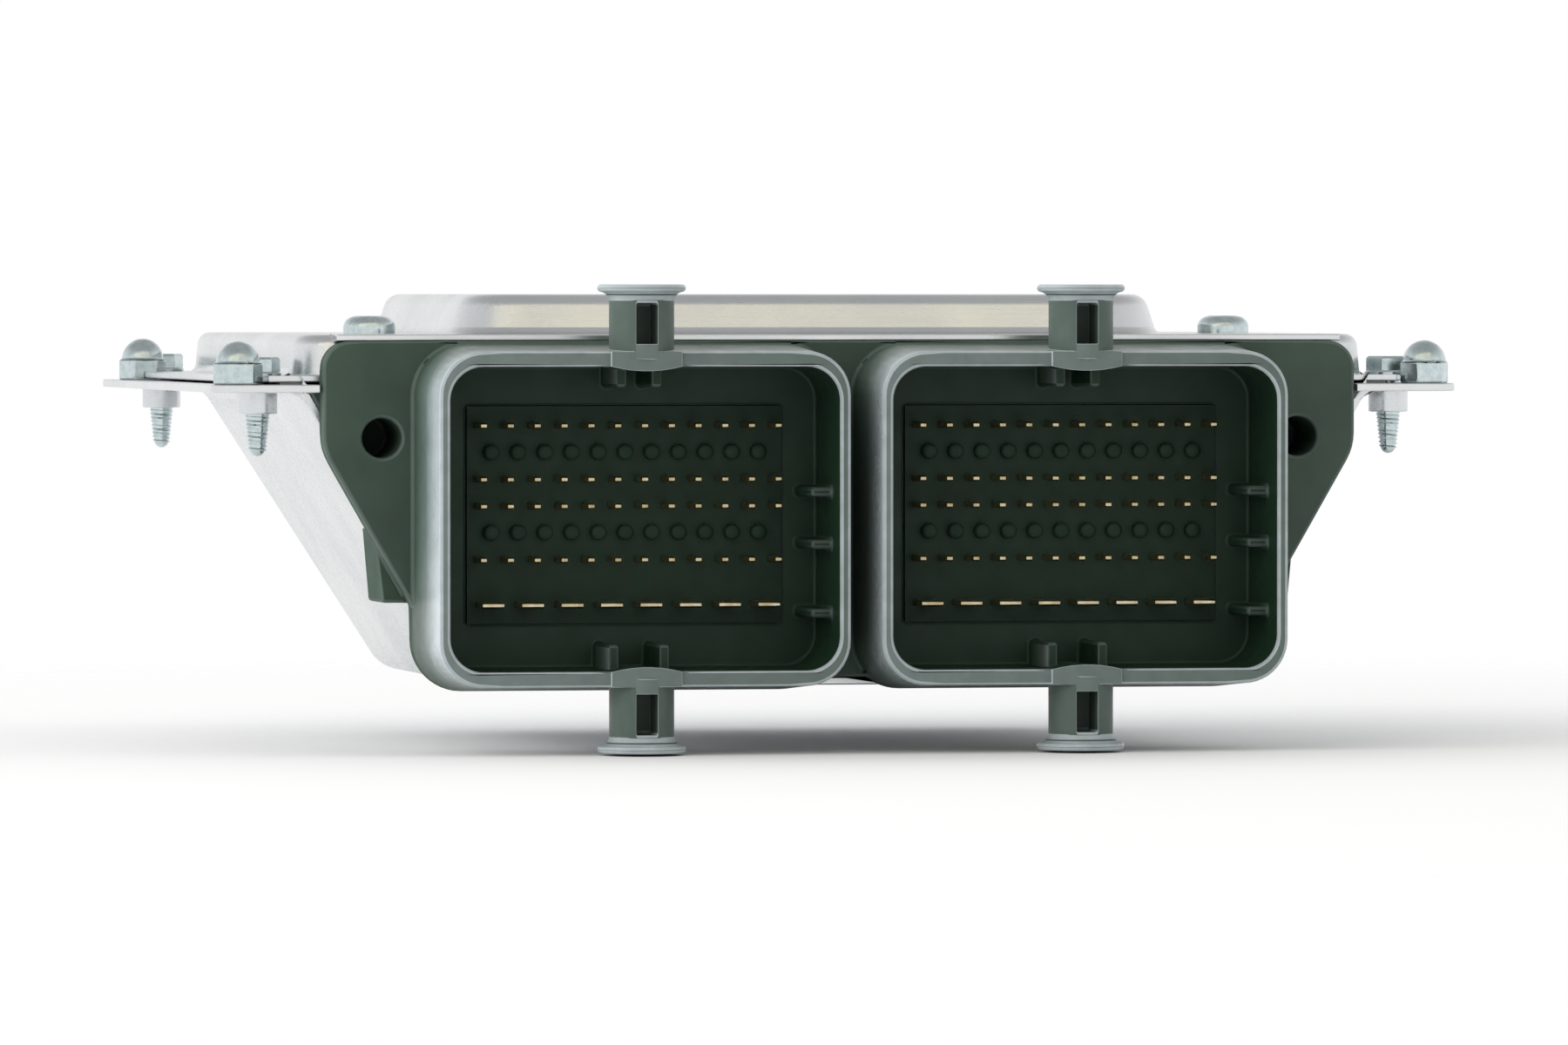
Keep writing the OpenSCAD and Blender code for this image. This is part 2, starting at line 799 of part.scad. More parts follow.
module housing_seal() {
    outer = screw_pitch_x / 2 - screw_d / 2 - tongue_gap;
    inner = housing_w / 2 - cover_t;
    color(sealant_grey)
        translate([0, 0, split_z])
            linear_extrude(seal_t)
                difference() {
                    translate([-outer, pan_front])
                        square([2 * outer, housing_rear + outer - housing_w / 2 - pan_front]);
                    translate([-inner, pan_front - 1])
                        square([2 * inner, housing_rear - cover_t - pan_front + 1]);
                }
}

module header_seal() {
    color(sealant_grey)
        along_y(plate_t, plate_t + tongue_reach)
            difference() {
                pan_outline(pan_t + press_gap);
                pan_outline(pan_t + tongue_gap);
                translate([-housing_w / 2, split_z - eps])
                    square([housing_w, 1]);
            }
}

// Fasteners
module cover_screws() {
    head_d = 6;
    washer_t = 0.5;
    hex_flats = 5;
    hex_h = 1.8;
    point_d = 1.8;
    seat = cover_flange_z + cover_t;
    shank_end = split_z - pan_t - collar_len;
    color(zinc)
        at(screw_places, 0) {
            translate([0, 0, seat + washer_t - eps])
                cylinder(h = hex_h + eps, d = hex_flats / cos(30), $fn = 6);
            rotate_extrude()
                polygon([[0, seat + washer_t], [head_d / 2, seat + washer_t], [head_d / 2, seat],
                         [screw_d / 2, seat], [screw_d / 2, shank_end],
                         [point_d / 2, shank_end - screw_tip], [0, shank_end - screw_tip]]);
        }
}

module mounting_cap_nuts() {
    dome_r = nut_flats / 2;
    thread_depth = nut_hex_h + 1.2;
    color(zinc)
        at(nut_places, split_z)
            difference() {
                union() {
                    cylinder(h = nut_hex_h, d = nut_flats / cos(30), $fn = 6);
                    intersection() {
                        translate([0, 0, nut_hex_h])
                            sphere(dome_r);
                        cylinder(h = nut_hex_h + 2 * dome_r, r = dome_r + 1);
                    }
                }
                translate([0, 0, -1])
                    cylinder(h = thread_depth + 1, d = mount_hole_d);
            }
}

module header_screws() {
    head_d = 6.6;
    head_h = 2.3;
    round_h = 0.8;
    color(zinc)
        at(header_screw_places, 0)
            rotate_extrude()
                polygon([[0, cover_top + head_h], [head_d / 2 - round_h, cover_top + head_h],
                         [head_d / 2, cover_top + head_h - round_h], [head_d / 2, cover_top],
                         [header_screw_d / 2 - press_gap, cover_top],
                         [header_screw_d / 2 - press_gap, board_z - arm_t + 1], [0, board_z - arm_t]]);
}

// Circuit board and what stands on it
module circuit_board() {
    hole_d = pin_side * sqrt(2) + 2 * press_gap;
    slot = [blade_w + 2 * fit_gap, blade_t + 2 * fit_gap];
    color(board_green)
        difference() {
            block(-board_w / 2, board_w / 2, board_front, board_rear, board_z, board_face);
            for (side = [-1, 1]) {
                for (r = [0:len(pin_rows) - 1], c = [0:pin_cols - 1])
                    translate([side * shroud_pitch / 2 + pin_x(c), tail_y(r), board_z - 1])
                        cylinder(h = board_t + 2, d = hole_d, $fn = 24);
                for (b = [0:blade_count - 1])
                    translate([side * shroud_pitch / 2 + blade_x(b), blade_tail_y, board_z - 1])
                        linear_extrude(board_t + 2)
                            square(slot, center = true);
            }
            at(header_screw_places, board_z - 1)
                cylinder(h = board_t + 2, r = arm_half_w + fit_gap);
            at(standoff_places, board_z - 1)
                cylinder(h = board_t + 2, d = standoff_thread_d + 2 * fit_gap);
        }
}

module board_standoffs() {
    color(tin)
        at(standoff_places, board_face)
            difference() {
                cylinder(h = cover_under - board_face, d = standoff_d);
                translate([0, 0, -1])
                    cylinder(h = cover_under - board_face, d = standoff_thread_d);
            }
}

module board_screws() {
    head_d = 5.5;
    head_h = 2;
    color(zinc)
        at(standoff_places, 0)
            rotate_extrude()
                polygon([[0, board_z - head_h], [head_d / 2, board_z - head_h], [head_d / 2, board_z],
                         [standoff_thread_d / 2 - press_gap, board_z],
                         [standoff_thread_d / 2 - press_gap, cover_under - 2], [0, cover_under - 2]]);
}

// Flat package with gull-wing leads on two or four sides, standing on z = 0
module leaded_chip(size, leads_x, leads_y, pitch) {
    stand = 0.1;
    translate([-size[0] / 2, -size[1] / 2, stand])
        cube([size[0], size[1], size[2] - stand]);
    for (side = [0, 180])
        rotate(side)
            lead_row(leads_x, pitch, size[1] / 2, size[2] / 2);
    for (side = [90, 270])
        rotate(side)
            lead_row(leads_y, pitch, size[0] / 2, size[2] / 2);
}

module lead_row(leads, pitch, edge, rise) {
    lead_w = pitch / 2;
    lead_t = 0.2;
    lead_reach = 1;
    for (i = [0:1:leads - 1])
        translate([(i - (leads - 1) / 2) * pitch - lead_w / 2, edge - lead_t, 0])
            gull_lead(lead_w, lead_reach, lead_reach / 2, lead_t, rise);
}

// Lead that leaves a package at half height and steps down to the board
module gull_lead(w, reach, foot, t, rise) {
    knee = t + reach - foot;
    along_x(0, w)
        polygon([[0, rise], [knee + t, rise], [knee + t, t], [t + reach, t], [t + reach, 0],
                 [knee, 0], [knee, rise - t], [0, rise - t]]);
}

module on_board(place) {
    translate([place[0], board_mid + place[1], board_face])
        children();
}

module microcontroller() {
    size = [22, 22, 1.6];
    leads = 24;
    color(chip_black)
        on_board(controller_place)
            leaded_chip(size, leads, leads, 0.8);
}

module memory_chip() {
    size = [13, 10, 1.5];
    leads = 8;
    color(chip_black)
        on_board(memory_place)
            leaded_chip(size, leads, 0, fine_pitch);
}

module signal_chips() {
    size = [10, 4, 1.7];
    leads = 8;
    color(chip_black)
        for (place = signal_chip_places)
            on_board(place)
                leaded_chip(size, leads, 0, fine_pitch);
}

module driver_chips() {
    size = [11, 11, driver_h];
    leads = 8;
    color(chip_black)
        for (y = driver_ys)
            translate([-hot_column_x, y, board_face])
                leaded_chip(size, 0, leads, fine_pitch);
}

// Soft pads that carry heat from the chips to the cover's shoulder
module thermal_pads(x, ys, size, chip_h) {
    half = size / 2;
    color(pad_grey)
        for (y = ys)
            block(x - half, x + half, y - half, y + half, board_face + chip_h, cover_under);
}

module driver_thermal_pads() {
    pad = 10;
    thermal_pads(-hot_column_x, driver_ys, pad, driver_h);
}

module power_transistors() {
    half_w = 4.5;
    half_d = 5;
    tab_t = 1.3;
    tab_reach = 1.6;
    leg_w = 0.8;
    leg_t = 0.5;
    leg_reach = 2.4;
    leg_foot = 1.4;
    leg_ys = [-2.54, 2.54];
    color(chip_black)
        for (y = transistor_ys)
            translate([hot_column_x, y, board_face]) {
                block(-half_w, half_w, -half_d, half_d, 0, transistor_h);
                block(half_w - eps, half_w + tab_reach, -half_d, half_d, 0, tab_t);
                for (leg_y = leg_ys)
                    translate([leg_t / 2 - half_w, leg_y - leg_w / 2, 0])
                        rotate(90)
                            gull_lead(leg_w, leg_reach, leg_foot, leg_t, transistor_h / 2);
            }
}

module transistor_thermal_pads() {
    pad = 8.6;
    thermal_pads(hot_column_x, transistor_ys, pad, transistor_h);
}

module voltage_regulator() {
    size = [6.5, 6.1, 2.3];
    leads = 3;
    color(chip_black)
        on_board(regulator_place)
            leaded_chip(size, leads, 0, 2.28);
}

module reverse_polarity_diode() {
    size = [7, 6, 2.4];
    color(chip_black)
        on_board(diode_place)
            leaded_chip(size, 1, 0, 4);
}

module quartz_crystal() {
    can_w = 11;
    can_depth = 4.6;
    can_h = 3.4;
    base = [12.6, 5.4, 0.6];
    color(tin)
        on_board(crystal_place) {
            translate([0, 0, base[2] / 2])
                cube(base, center = true);
            translate([0, 0, base[2] - eps])
                linear_extrude(can_h + eps)
                    rounded_rect(can_w, can_depth, 2);
        }
}

module air_pressure_sensor() {
    size = [7, 7, 3];
    leads = 3;
    port_d = 2.4;
    port_wall = 1;
    port_h = 4.6;
    port_floor = 1.5;
    color(chip_black)
        on_board(sensor_place)
            difference() {
                union() {
                    leaded_chip(size, leads, 0, 1.9);
                    cylinder(h = port_h, d = port_d + 2 * port_wall);
                }
                translate([0, 0, port_floor])
                    cylinder(h = port_h, d = port_d);
            }
}

module chip_capacitors() {
    size = [2, 1.25, 0.9];
    columns = [-5:9];
    color(ceramic_tan)
        for (i = columns, y = small_part_rows)
            on_board([i * small_part_step, y])
                translate([0, 0, size[2] / 2])
                    cube(size, center = true);
}

// Cans hang below the board, each with a rolled bead near its foot
module buffer_capacitors() {
    bead_r = 0.5;
    bead_drop = 2.4;
    color(can_grey)
        for (place = capacitor_places)
            translate([place[0], board_mid + place[1], 0])
                difference() {
                    translate([0, 0, board_z - can_len])
                        cylinder(h = can_len, d = can_d);
                    translate([0, 0, board_z - bead_drop])
                        rotate_extrude()
                            translate([can_d / 2 + bead_r / 2, 0])
                                circle(bead_r);
                }
}

module filter_choke_core() {
    color(ferrite)
        translate([choke_place[0], board_mid + choke_place[1], board_z - choke_h]) {
            cylinder(h = choke_flange_t, d = choke_d);
            cylinder(h = choke_h, d = choke_hub_d);
            translate([0, 0, choke_h - choke_flange_t])
                cylinder(h = choke_flange_t, d = choke_d);
        }
}

module filter_choke_winding() {
    winding_inset = 1;
    color(copper)
        translate([choke_place[0], board_mid + choke_place[1], board_z - choke_h + choke_flange_t])
            difference() {
                cylinder(h = choke_h - 2 * choke_flange_t, d = choke_d - 2 * winding_inset);
                translate([0, 0, -1])
                    cylinder(h = choke_h, d = choke_hub_d);
            }
}

connector_header();
left_pin_carrier();
right_pin_carrier();
left_signal_pins();
right_signal_pins();
left_power_blades();
right_power_blades();
top_cover();
bottom_pan();
housing_seal();
header_seal();
cover_screws();
mounting_cap_nuts();
header_screws();
circuit_board();
board_standoffs();
board_screws();
microcontroller();
memory_chip();
signal_chips();
driver_chips();
driver_thermal_pads();
power_transistors();
transistor_thermal_pads();
voltage_regulator();
reverse_polarity_diode();
quartz_crystal();
air_pressure_sensor();
chip_capacitors();
buffer_capacitors();
filter_choke_core();
filter_choke_winding();
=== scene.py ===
"""Looks of a sealed engine control unit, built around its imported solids. Sizes are in metres."""

import math

import bmesh
import bpy
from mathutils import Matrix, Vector


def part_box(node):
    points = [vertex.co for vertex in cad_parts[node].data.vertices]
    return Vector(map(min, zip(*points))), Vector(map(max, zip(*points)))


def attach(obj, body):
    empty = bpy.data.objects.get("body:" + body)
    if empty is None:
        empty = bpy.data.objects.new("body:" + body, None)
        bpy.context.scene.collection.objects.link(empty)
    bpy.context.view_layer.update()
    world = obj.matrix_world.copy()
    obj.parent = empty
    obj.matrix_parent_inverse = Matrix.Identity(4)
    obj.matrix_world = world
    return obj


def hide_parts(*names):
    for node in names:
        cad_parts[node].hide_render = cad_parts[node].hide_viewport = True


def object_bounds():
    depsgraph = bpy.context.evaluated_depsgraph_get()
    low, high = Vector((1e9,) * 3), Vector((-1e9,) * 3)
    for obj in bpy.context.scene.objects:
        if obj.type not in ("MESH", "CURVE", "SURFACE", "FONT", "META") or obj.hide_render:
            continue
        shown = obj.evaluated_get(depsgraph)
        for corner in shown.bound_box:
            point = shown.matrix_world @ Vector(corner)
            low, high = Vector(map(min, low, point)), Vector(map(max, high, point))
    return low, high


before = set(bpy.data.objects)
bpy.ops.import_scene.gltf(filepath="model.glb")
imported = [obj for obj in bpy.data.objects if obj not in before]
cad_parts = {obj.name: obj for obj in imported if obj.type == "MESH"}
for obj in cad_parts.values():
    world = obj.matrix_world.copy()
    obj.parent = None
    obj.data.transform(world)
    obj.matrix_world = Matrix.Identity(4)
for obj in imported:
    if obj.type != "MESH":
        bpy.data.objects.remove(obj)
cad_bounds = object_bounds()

bl_info = {
    "name": "Engine Control Unit",
    "version": (1, 0, 0),
    "blender": (4, 5, 0),
    "location": "View3D > Sidebar > Control Unit",
    "description": "Dresses the solids of a sealed engine control unit with edges, threads and finishes",
    "category": "Add Mesh",
}

MM = 0.001

# Places and sizes on the solids that the looks follow.
SHROUD_X = 27.935 * MM
SHROUD_Z = -9.95 * MM
CAVITY_HALF_W = 24.55 * MM
CAVITY_HALF_H = 18.9 * MM
CAVITY_FLOOR = 0.5 * MM
RIM_HALF_H = 20.8 * MM
RIM_REACH = 15.0 * MM
WALL_HALF = 0.7 * MM
POST_HEAD = 28.1 * MM
POST_FOOT_HALF = 7.0 * MM
EAR_HOLE_X = 58.65 * MM
ARM_HOLE_X = 55.7 * MM
PIN_PITCH = 3.4 * MM
FASTENERS = {"cover_screws": 4, "mounting_cap_nuts": 4, "header_screws": 2}

# Sizes of the detail that the looks add.
BUMPS_IN_ROW = 11
BUMP_ROWS = (-1.8 * MM, -11.86 * MM)
BUMP_RADIUS = 0.98 * MM
BUMP_SWELL = 0.3
LOBED_HEAD_HEIGHT = 2.3 * MM
NUT_EDGE = 0.25 * MM
FINE_EDGE = 0.05 * MM
COVER_BEND = 0.9 * MM
COVER_BEND_START = 8.0 * MM
PAN_BEND = 1.6 * MM
PAN_INNER_BEND = 2.6 * MM

# Limits for cleaning and rounding meshes.
WELD_GAP = 0.002 * MM
CUT_GAP = 0.02 * MM
SLIVER = 0.001 * MM
FLAT_ANGLE = math.radians(0.5)
SHARP_ANGLE = math.radians(30)
SMOOTH_ANGLE = math.radians(32)
LEAST_ROOM = 0.2

# Wear and painted light on the header's faces: 0 is as moulded and 1 is wear right through or fully painted
# pale. The rim value is also a painted sheen, and the left and right values paint the left side of each
# shroud paler than the right, as painted light from the left.
POST_HEAD_WEAR = 0.75
POST_WEAR = 0.18
RIM_WEAR_AND_SHEEN = 0.44
SHELTERED_EDGE_WEAR_AND_SHEEN = 0.25
LEFT_PAINTED_LIGHT = 1.1
RIGHT_PAINTED_LIGHT = 0.6

# How the wear and the painted highlights fade with depth: its values in front and behind, the two depths in
# millimetres, and a power. The edge marks are wear and a painted highlight on the front edges, the left wall
# marks are a painted highlight on left-facing outer walls, and the plug wall marks are wear and a painted
# highlight on the outer walls near the rim.
WEAR_AND_LIGHT_BY_DEPTH = {
    "edge_wear_and_highlight": (0.75, 0.08, -14.0, -6.0, 1.0),
    "left_wall_highlight": (0.95, 0.0, -15.0, -7.0, 1.0),
    "wall_wear_and_highlight": (0.95, 0.0, -15.0, 0.0, 1.4),
}

# Light and dark tone, size of the mottle in millimetres, lowest and highest roughness, and metallic.
FINISHES = {
    # A cool bluish shine with a fine crystalline mottle.
    "steel_zinc_plated": ("#d0dbdc", "#b8c6c9", 0.8, (0.16, 0.27), 1.0),
    # Small pale yellow glints at the ends of the pins, browner where they are tarnished.
    "bronze_gold_plated": ("#d3c6a3", "#ab9a72", 1.2, (0.28, 0.38), 1.0),
    # A warm white shine, through which the brass shows at worn places.
    "brass_tin_plated": ("#d8cfb6", "#b5a47e", 1.2, (0.26, 0.36), 1.0),
    # A dull grey rubbery line in the joints.
    "silicone_cured_bead": ("#63686a", "#74797b", 3.0, (0.55, 0.67), 0.0),
    # A smooth green lacquer, a little cloudy over the weave.
    "glass_laminate_solder_masked": ("#1c5236", "#246343", 6.0, (0.35, 0.47), 0.0),
    # A dull near-black with a fine speckle of filler.
    "chip_epoxy_moulded": ("#17181a", "#222326", 0.6, (0.5, 0.62), 0.0),
    # A soft matt blue-grey.
    "gap_pad_silicone": ("#838d99", "#98a2ad", 1.0, (0.7, 0.82), 0.0),
    # A smooth biscuit brown.
    "capacitor_body_fired": ("#a98a62", "#c0a27a", 0.5, (0.45, 0.57), 0.0),
    # A stony dark grey.
    "ferrite_sintered": ("#2c2d2f", "#3d3e41", 0.5, (0.6, 0.72), 0.0),
    # A soft white shine.
    "steel_tin_plated": ("#d3d5d6", "#b7babc", 1.2, (0.28, 0.38), 1.0),
    # A grey satin metal.
    "can_aluminium_drawn": ("#aab0b5", "#8f969c", 1.2, (0.3, 0.4), 1.0),
    # Red-brown metal under a clear coat.
    "copper_wire_enamelled": ("#bd6f38", "#9c5526", 1.2, (0.3, 0.4), 1.0),
}


def to_linear(text):
    """Turns an sRGB hex colour into linear red, green, blue and alpha."""
    channels = [int(text[i : i + 2], 16) / 255 for i in (1, 3, 5)]
    linear = [c / 12.92 if c <= 0.04045 else ((c + 0.055) / 1.055) ** 2.4 for c in channels]
    return (*linear, 1.0)


def add_node(tree, kind, inputs=None, **settings):
    """Adds a node, sets its properties, and fills its inputs with values, or links from sockets or nodes."""
    node = tree.nodes.new(kind)
    for name, value in settings.items():
        setattr(node, name, value)
    for key, value in (inputs or {}).items():
        socket = node.inputs[key]
        if isinstance(value, bpy.types.Node):
            tree.links.new(value.outputs[0], socket)
        elif isinstance(value, bpy.types.NodeSocket):
            tree.links.new(value, socket)
        else:
            socket.default_value = value
    return node


def colour_setting(name, description, text):
    """A colour among the settings, given as a hex value."""
    return bpy.props.FloatVectorProperty(
        name=name,
        description=description,
        default=to_linear(text),
        size=4,
        min=0,
        max=1,
        subtype="COLOR",
    )


def length_setting(name, description, size_mm, least_mm, most_mm):
    """A length among the settings, given in millimetres."""
    return bpy.props.FloatProperty(
        name=name,
        description=description,
        default=size_mm * MM,
        min=least_mm * MM,
        max=most_mm * MM,
        unit="LENGTH",
    )


class FinishColours(bpy.types.PropertyGroup):
    """Colours of the surfaces that show."""

    header: colour_setting("Header plastic", "Black of the moulded header", "#3a4a40")
    # This grey is wear, and also a painted sheen on the rims and a painted highlight on the outer walls of
    # the shrouds.
    rubbed: colour_setting("Rubbed rim", "Grey of the shroud rims where plugs have rubbed them", "#9fabac")
    sheet: colour_setting("Aluminium sheet", "Bright metal of the cover and the pan", "#dfe1e2")
    plating: colour_setting("Zinc plating", "Bluish metal of the screws and nuts", "#d0dbdc")


class EdgeSizes(bpy.types.PropertyGroup):
    """Radii of the rounded edges."""

    header: length_setting("Header edges", "Radius of the moulded edges", 0.4, 0.05, 0.5)
    sheet: length_setting("Sheet edges", "Radius of the cut edges of the sheet", 0.18, 0.05, 0.3)
    terminal: length_setting("Terminal edges", "Radius of the edges of pins and blades", 0.07, 0.02, 0.15)


class ScrewSizes(bpy.types.PropertyGroup):
    """Sizes of the cover screws."""

    washer_radius: length_setting("Washer radius", "Radius of the washer face", 3.0, 2.9, 3.2)
    washer_height: length_setting("Washer height", "Height of the washer face", 0.5, 0.2, 1.0)
    hex_radius: length_setting("Hexagon radius", "Radius over the hexagon's corners", 2.88, 2.0, 3.0)
    hex_height: length_setting("Hexagon height", "Height of the hexagon above the washer", 1.8, 1.0, 3.0)
    shank_radius: length_setting("Shank radius", "Radius over the thread", 1.6, 1.0, 2.0)
    tip_radius: length_setting("Tip radius", "Radius of the blunt end", 1.05, 0.5, 1.5)
    tip_length: length_setting("Tip length", "Length of the tapered end", 5.3, 3.0, 7.0)
    pitch: length_setting("Thread pitch", "Rise of the thread in one turn", 0.5, 0.3, 1.0)


class StageSettings(bpy.types.PropertyGroup):
    """Camera and light."""

    azimuth: bpy.props.FloatProperty(
        name="Azimuth",
        description="Turn of the camera to the left of the connector side",
        default=math.radians(-11.17),
        subtype="ANGLE",
    )
    elevation: bpy.props.FloatProperty(
        name="Elevation",
        description="Height of the camera as an angle",
        default=math.radians(1.12),
        subtype="ANGLE",
    )
    distance: bpy.props.FloatProperty(
        name="Distance", description="Camera to the aim point", default=1.4454, unit="LENGTH"
    )
    lens: bpy.props.FloatProperty(name="Lens", description="Focal length in millimetres", default=267.2)
    aim: bpy.props.FloatVectorProperty(
        name="Aim",
        description="Point in the middle of the view",
        default=(-10.56 * MM, -15 * MM, -10.42 * MM),
        size=3,
        subtype="TRANSLATION",
    )


def shader_start(name):
    """A new material with a Principled shader; returns the material, its tree and the shader."""
    material = bpy.data.materials.new(name)
    material.use_nodes = True
    tree = material.node_tree
    return material, tree, tree.nodes["Principled BSDF"]


def cloud(tree, size_mm, detail=3.0, stretch=(1, 1, 1)):
    """An irregular pattern on the object, about size_mm across, and longer along an axis of small stretch."""
    coords = add_node(tree, "ShaderNodeTexCoord").outputs["Object"]
    drawn = add_node(tree, "ShaderNodeMapping", {"Vector": coords, "Scale": stretch})
    inputs = {"Vector": drawn, "Scale": 1 / (size_mm * MM), "Detail": detail, "Roughness": 0.55}
    return add_node(tree, "ShaderNodeTexNoise", inputs)


def mottle(tree, size_mm, low, high, detail=3.0, stretch=(1, 1, 1)):
    """An irregular pattern whose middle tones are spread over a range of values."""
    pattern = cloud(tree, size_mm, detail, stretch)
    inputs = {"Value": pattern, "From Min": 0.3, "From Max": 0.7, "To Min": low, "To Max": high}
    return add_node(tree, "ShaderNodeMapRange", inputs)


def mottled_finish(name, light=None):
    """A finish from FINISHES, whose colour and polish waver together."""
    listed, dark, size_mm, (polished, dull), metallic = FINISHES[name]
    material, tree, shader = shader_start(name)
    waver = mottle(tree, size_mm, 0.0, 1.0, 4.0)
    inputs = {0: waver, 6: light or to_linear(listed), 7: to_linear(dark)}
    tone = add_node(tree, "ShaderNodeMix", inputs, data_type="RGBA")
    polish = add_node(tree, "ShaderNodeMapRange", {"Value": waver, "To Min": polished, "To Max": dull})
    tree.links.new(tone.outputs[2], shader.inputs["Base Color"])
    tree.links.new(polish.outputs[0], shader.inputs["Roughness"])
    shader.inputs["Metallic"].default_value = metallic
    return material


def header_wear_and_painted_light(tree, place):
    """How pale the header is painted, in two strengths: wear and painted sheen on rims and posts, painted
    paler on the left side, with wear and a painted highlight on the outer walls; and wear and a painted
    highlight on edges and left-facing walls. Both are marks on its faces, faded and scuffed.
    """
    wear_and_highlight = {}
    for name, (near, far, front, back, power) in WEAR_AND_LIGHT_BY_DEPTH.items():
        inputs = {"Value": place["Y"], "From Min": front * MM, "From Max": back * MM}
        fade = add_node(tree, "ShaderNodeMapRange", inputs | {"To Min": near, "To Max": far})
        curve = add_node(tree, "ShaderNodeMath", {0: fade, 1: power}, operation="POWER")
        mark = add_node(tree, "ShaderNodeAttribute", attribute_name=name).outputs["Fac"]
        wear_and_highlight[name] = add_node(tree, "ShaderNodeMath", {0: mark, 1: curve}, operation="MULTIPLY")
    # Painted light: rims and post heads are painted paler on the left side of each shroud than on the right,
    # as if lit from the left.
    side = add_node(tree, "ShaderNodeMath", {0: place["X"]}, operation="SIGN")
    middle = add_node(tree, "ShaderNodeMath", {0: side, 1: SHROUD_X}, operation="MULTIPLY")
    across = add_node(tree, "ShaderNodeMath", {0: place["X"], 1: middle}, operation="SUBTRACT")
    inputs = {"Value": across, "From Min": -CAVITY_HALF_W, "From Max": CAVITY_HALF_W}
    side_painted_light = add_node(tree, "ShaderNodeMapRange", inputs | {"To Min": LEFT_PAINTED_LIGHT, "To Max": RIGHT_PAINTED_LIGHT})
    mark = add_node(tree, "ShaderNodeAttribute", attribute_name="rubbed").outputs["Fac"]
    wear_and_highlight["rubbed"] = add_node(tree, "ShaderNodeMath", {0: mark, 1: side_painted_light}, operation="MULTIPLY")
    scuff = mottle(tree, 2.2, 0.75, 1.0, 5.0)
    strengths = []
    # The first strength is wear and painted sheen on rims and posts, and wear and a painted highlight on the
    # outer walls; the second is wear and a painted highlight on edges and left-facing walls.
    for one, two in (("rubbed", "wall_wear_and_highlight"), ("edge_wear_and_highlight", "left_wall_highlight")):
        most = add_node(tree, "ShaderNodeMath", {0: wear_and_highlight[one], 1: wear_and_highlight[two]}, operation="MAXIMUM")
        strengths.append(add_node(tree, "ShaderNodeMath", {0: most, 1: scuff}, operation="MULTIPLY"))
    return strengths


def moulded_polyester():
    """Glass-filled polyester, moulded: a satin green-black skin, paler where plugs rub the rims, with painted
    shade inside the shrouds, a painted highlight on edges and outer walls, and painted light that makes the
    left side of each shroud paler.
    """
    colours = bpy.context.scene.ecu_colours
    material, tree, shader = shader_start("glass_filled_polyester_moulded")
    coords = add_node(tree, "ShaderNodeTexCoord").outputs["Object"]
    place = add_node(tree, "ShaderNodeSeparateXYZ", {"Vector": coords}).outputs
    rubbed, bare_and_highlight = header_wear_and_painted_light(tree, place)
    cavity = add_node(tree, "ShaderNodeAttribute", attribute_name="cavity").outputs["Fac"]
    layers = [
        (mottle(tree, 9.0, 0.0, 1.0), to_linear("#435549")),
        # Painted shade: the inside of each shroud, but for its rim, is painted a darker green.
        (cavity, to_linear("#1b3223")),
        (rubbed, tuple(colours.rubbed)),
        # Painted highlight: edges and left-facing outer walls are painted a pale grey, which on the edges is
        # partly wear.
        (bare_and_highlight, to_linear("#c6cfd3")),
    ]
    skin = tuple(colours.header)
    for cover, colour in layers:
        skin = add_node(tree, "ShaderNodeMix", {0: cover, 6: skin, 7: colour}, data_type="RGBA").outputs[2]
    tree.links.new(skin, shader.inputs["Base Color"])
    inputs = {0: rubbed, 1: -0.35, 2: mottle(tree, 4.0, 0.42, 0.55)}
    polish = add_node(tree, "ShaderNodeMath", inputs, operation="MULTIPLY_ADD")
    inputs = {"Value": place["Y"], "From Min": 0.5 * MM, "From Max": 1.5 * MM, "To Min": 0.0, "To Max": 0.3}
    behind = add_node(tree, "ShaderNodeMapRange", inputs)
    dull = add_node(tree, "ShaderNodeMath", {0: polish, 1: behind}, operation="ADD")
    tree.links.new(dull.outputs[0], shader.inputs["Roughness"])
    shader.inputs["Specular IOR Level"].default_value = 0.3
    # The grain of the mould is about 0.1 mm across, too fine to show here, so it is drawn coarser.
    inputs = {"Height": cloud(tree, 0.35, 2.0), "Strength": 0.12, "Distance": 0.03 * MM}
    grain = add_node(tree, "ShaderNodeBump", inputs)
    tree.links.new(grain.outputs["Normal"], shader.inputs["Normal"])
    return material


def carrier_polyester():
    """Polyester of the terminal blocks, moulded: a darker and duller green-black than the header's."""
    material, tree, shader = shader_start("terminal_block_polyester_moulded")
    inputs = {0: mottle(tree, 3.0, 0.0, 1.0), 6: to_linear("#0f2416"), 7: to_linear("#173021")}
    tone = add_node(tree, "ShaderNodeMix", inputs, data_type="RGBA")
    tree.links.new(tone.outputs[2], shader.inputs["Base Color"])
    dull = mottle(tree, 1.5, 0.45, 0.6)
    tree.links.new(dull.outputs[0], shader.inputs["Roughness"])
    shader.inputs["Specular IOR Level"].default_value = 0.25
    return material


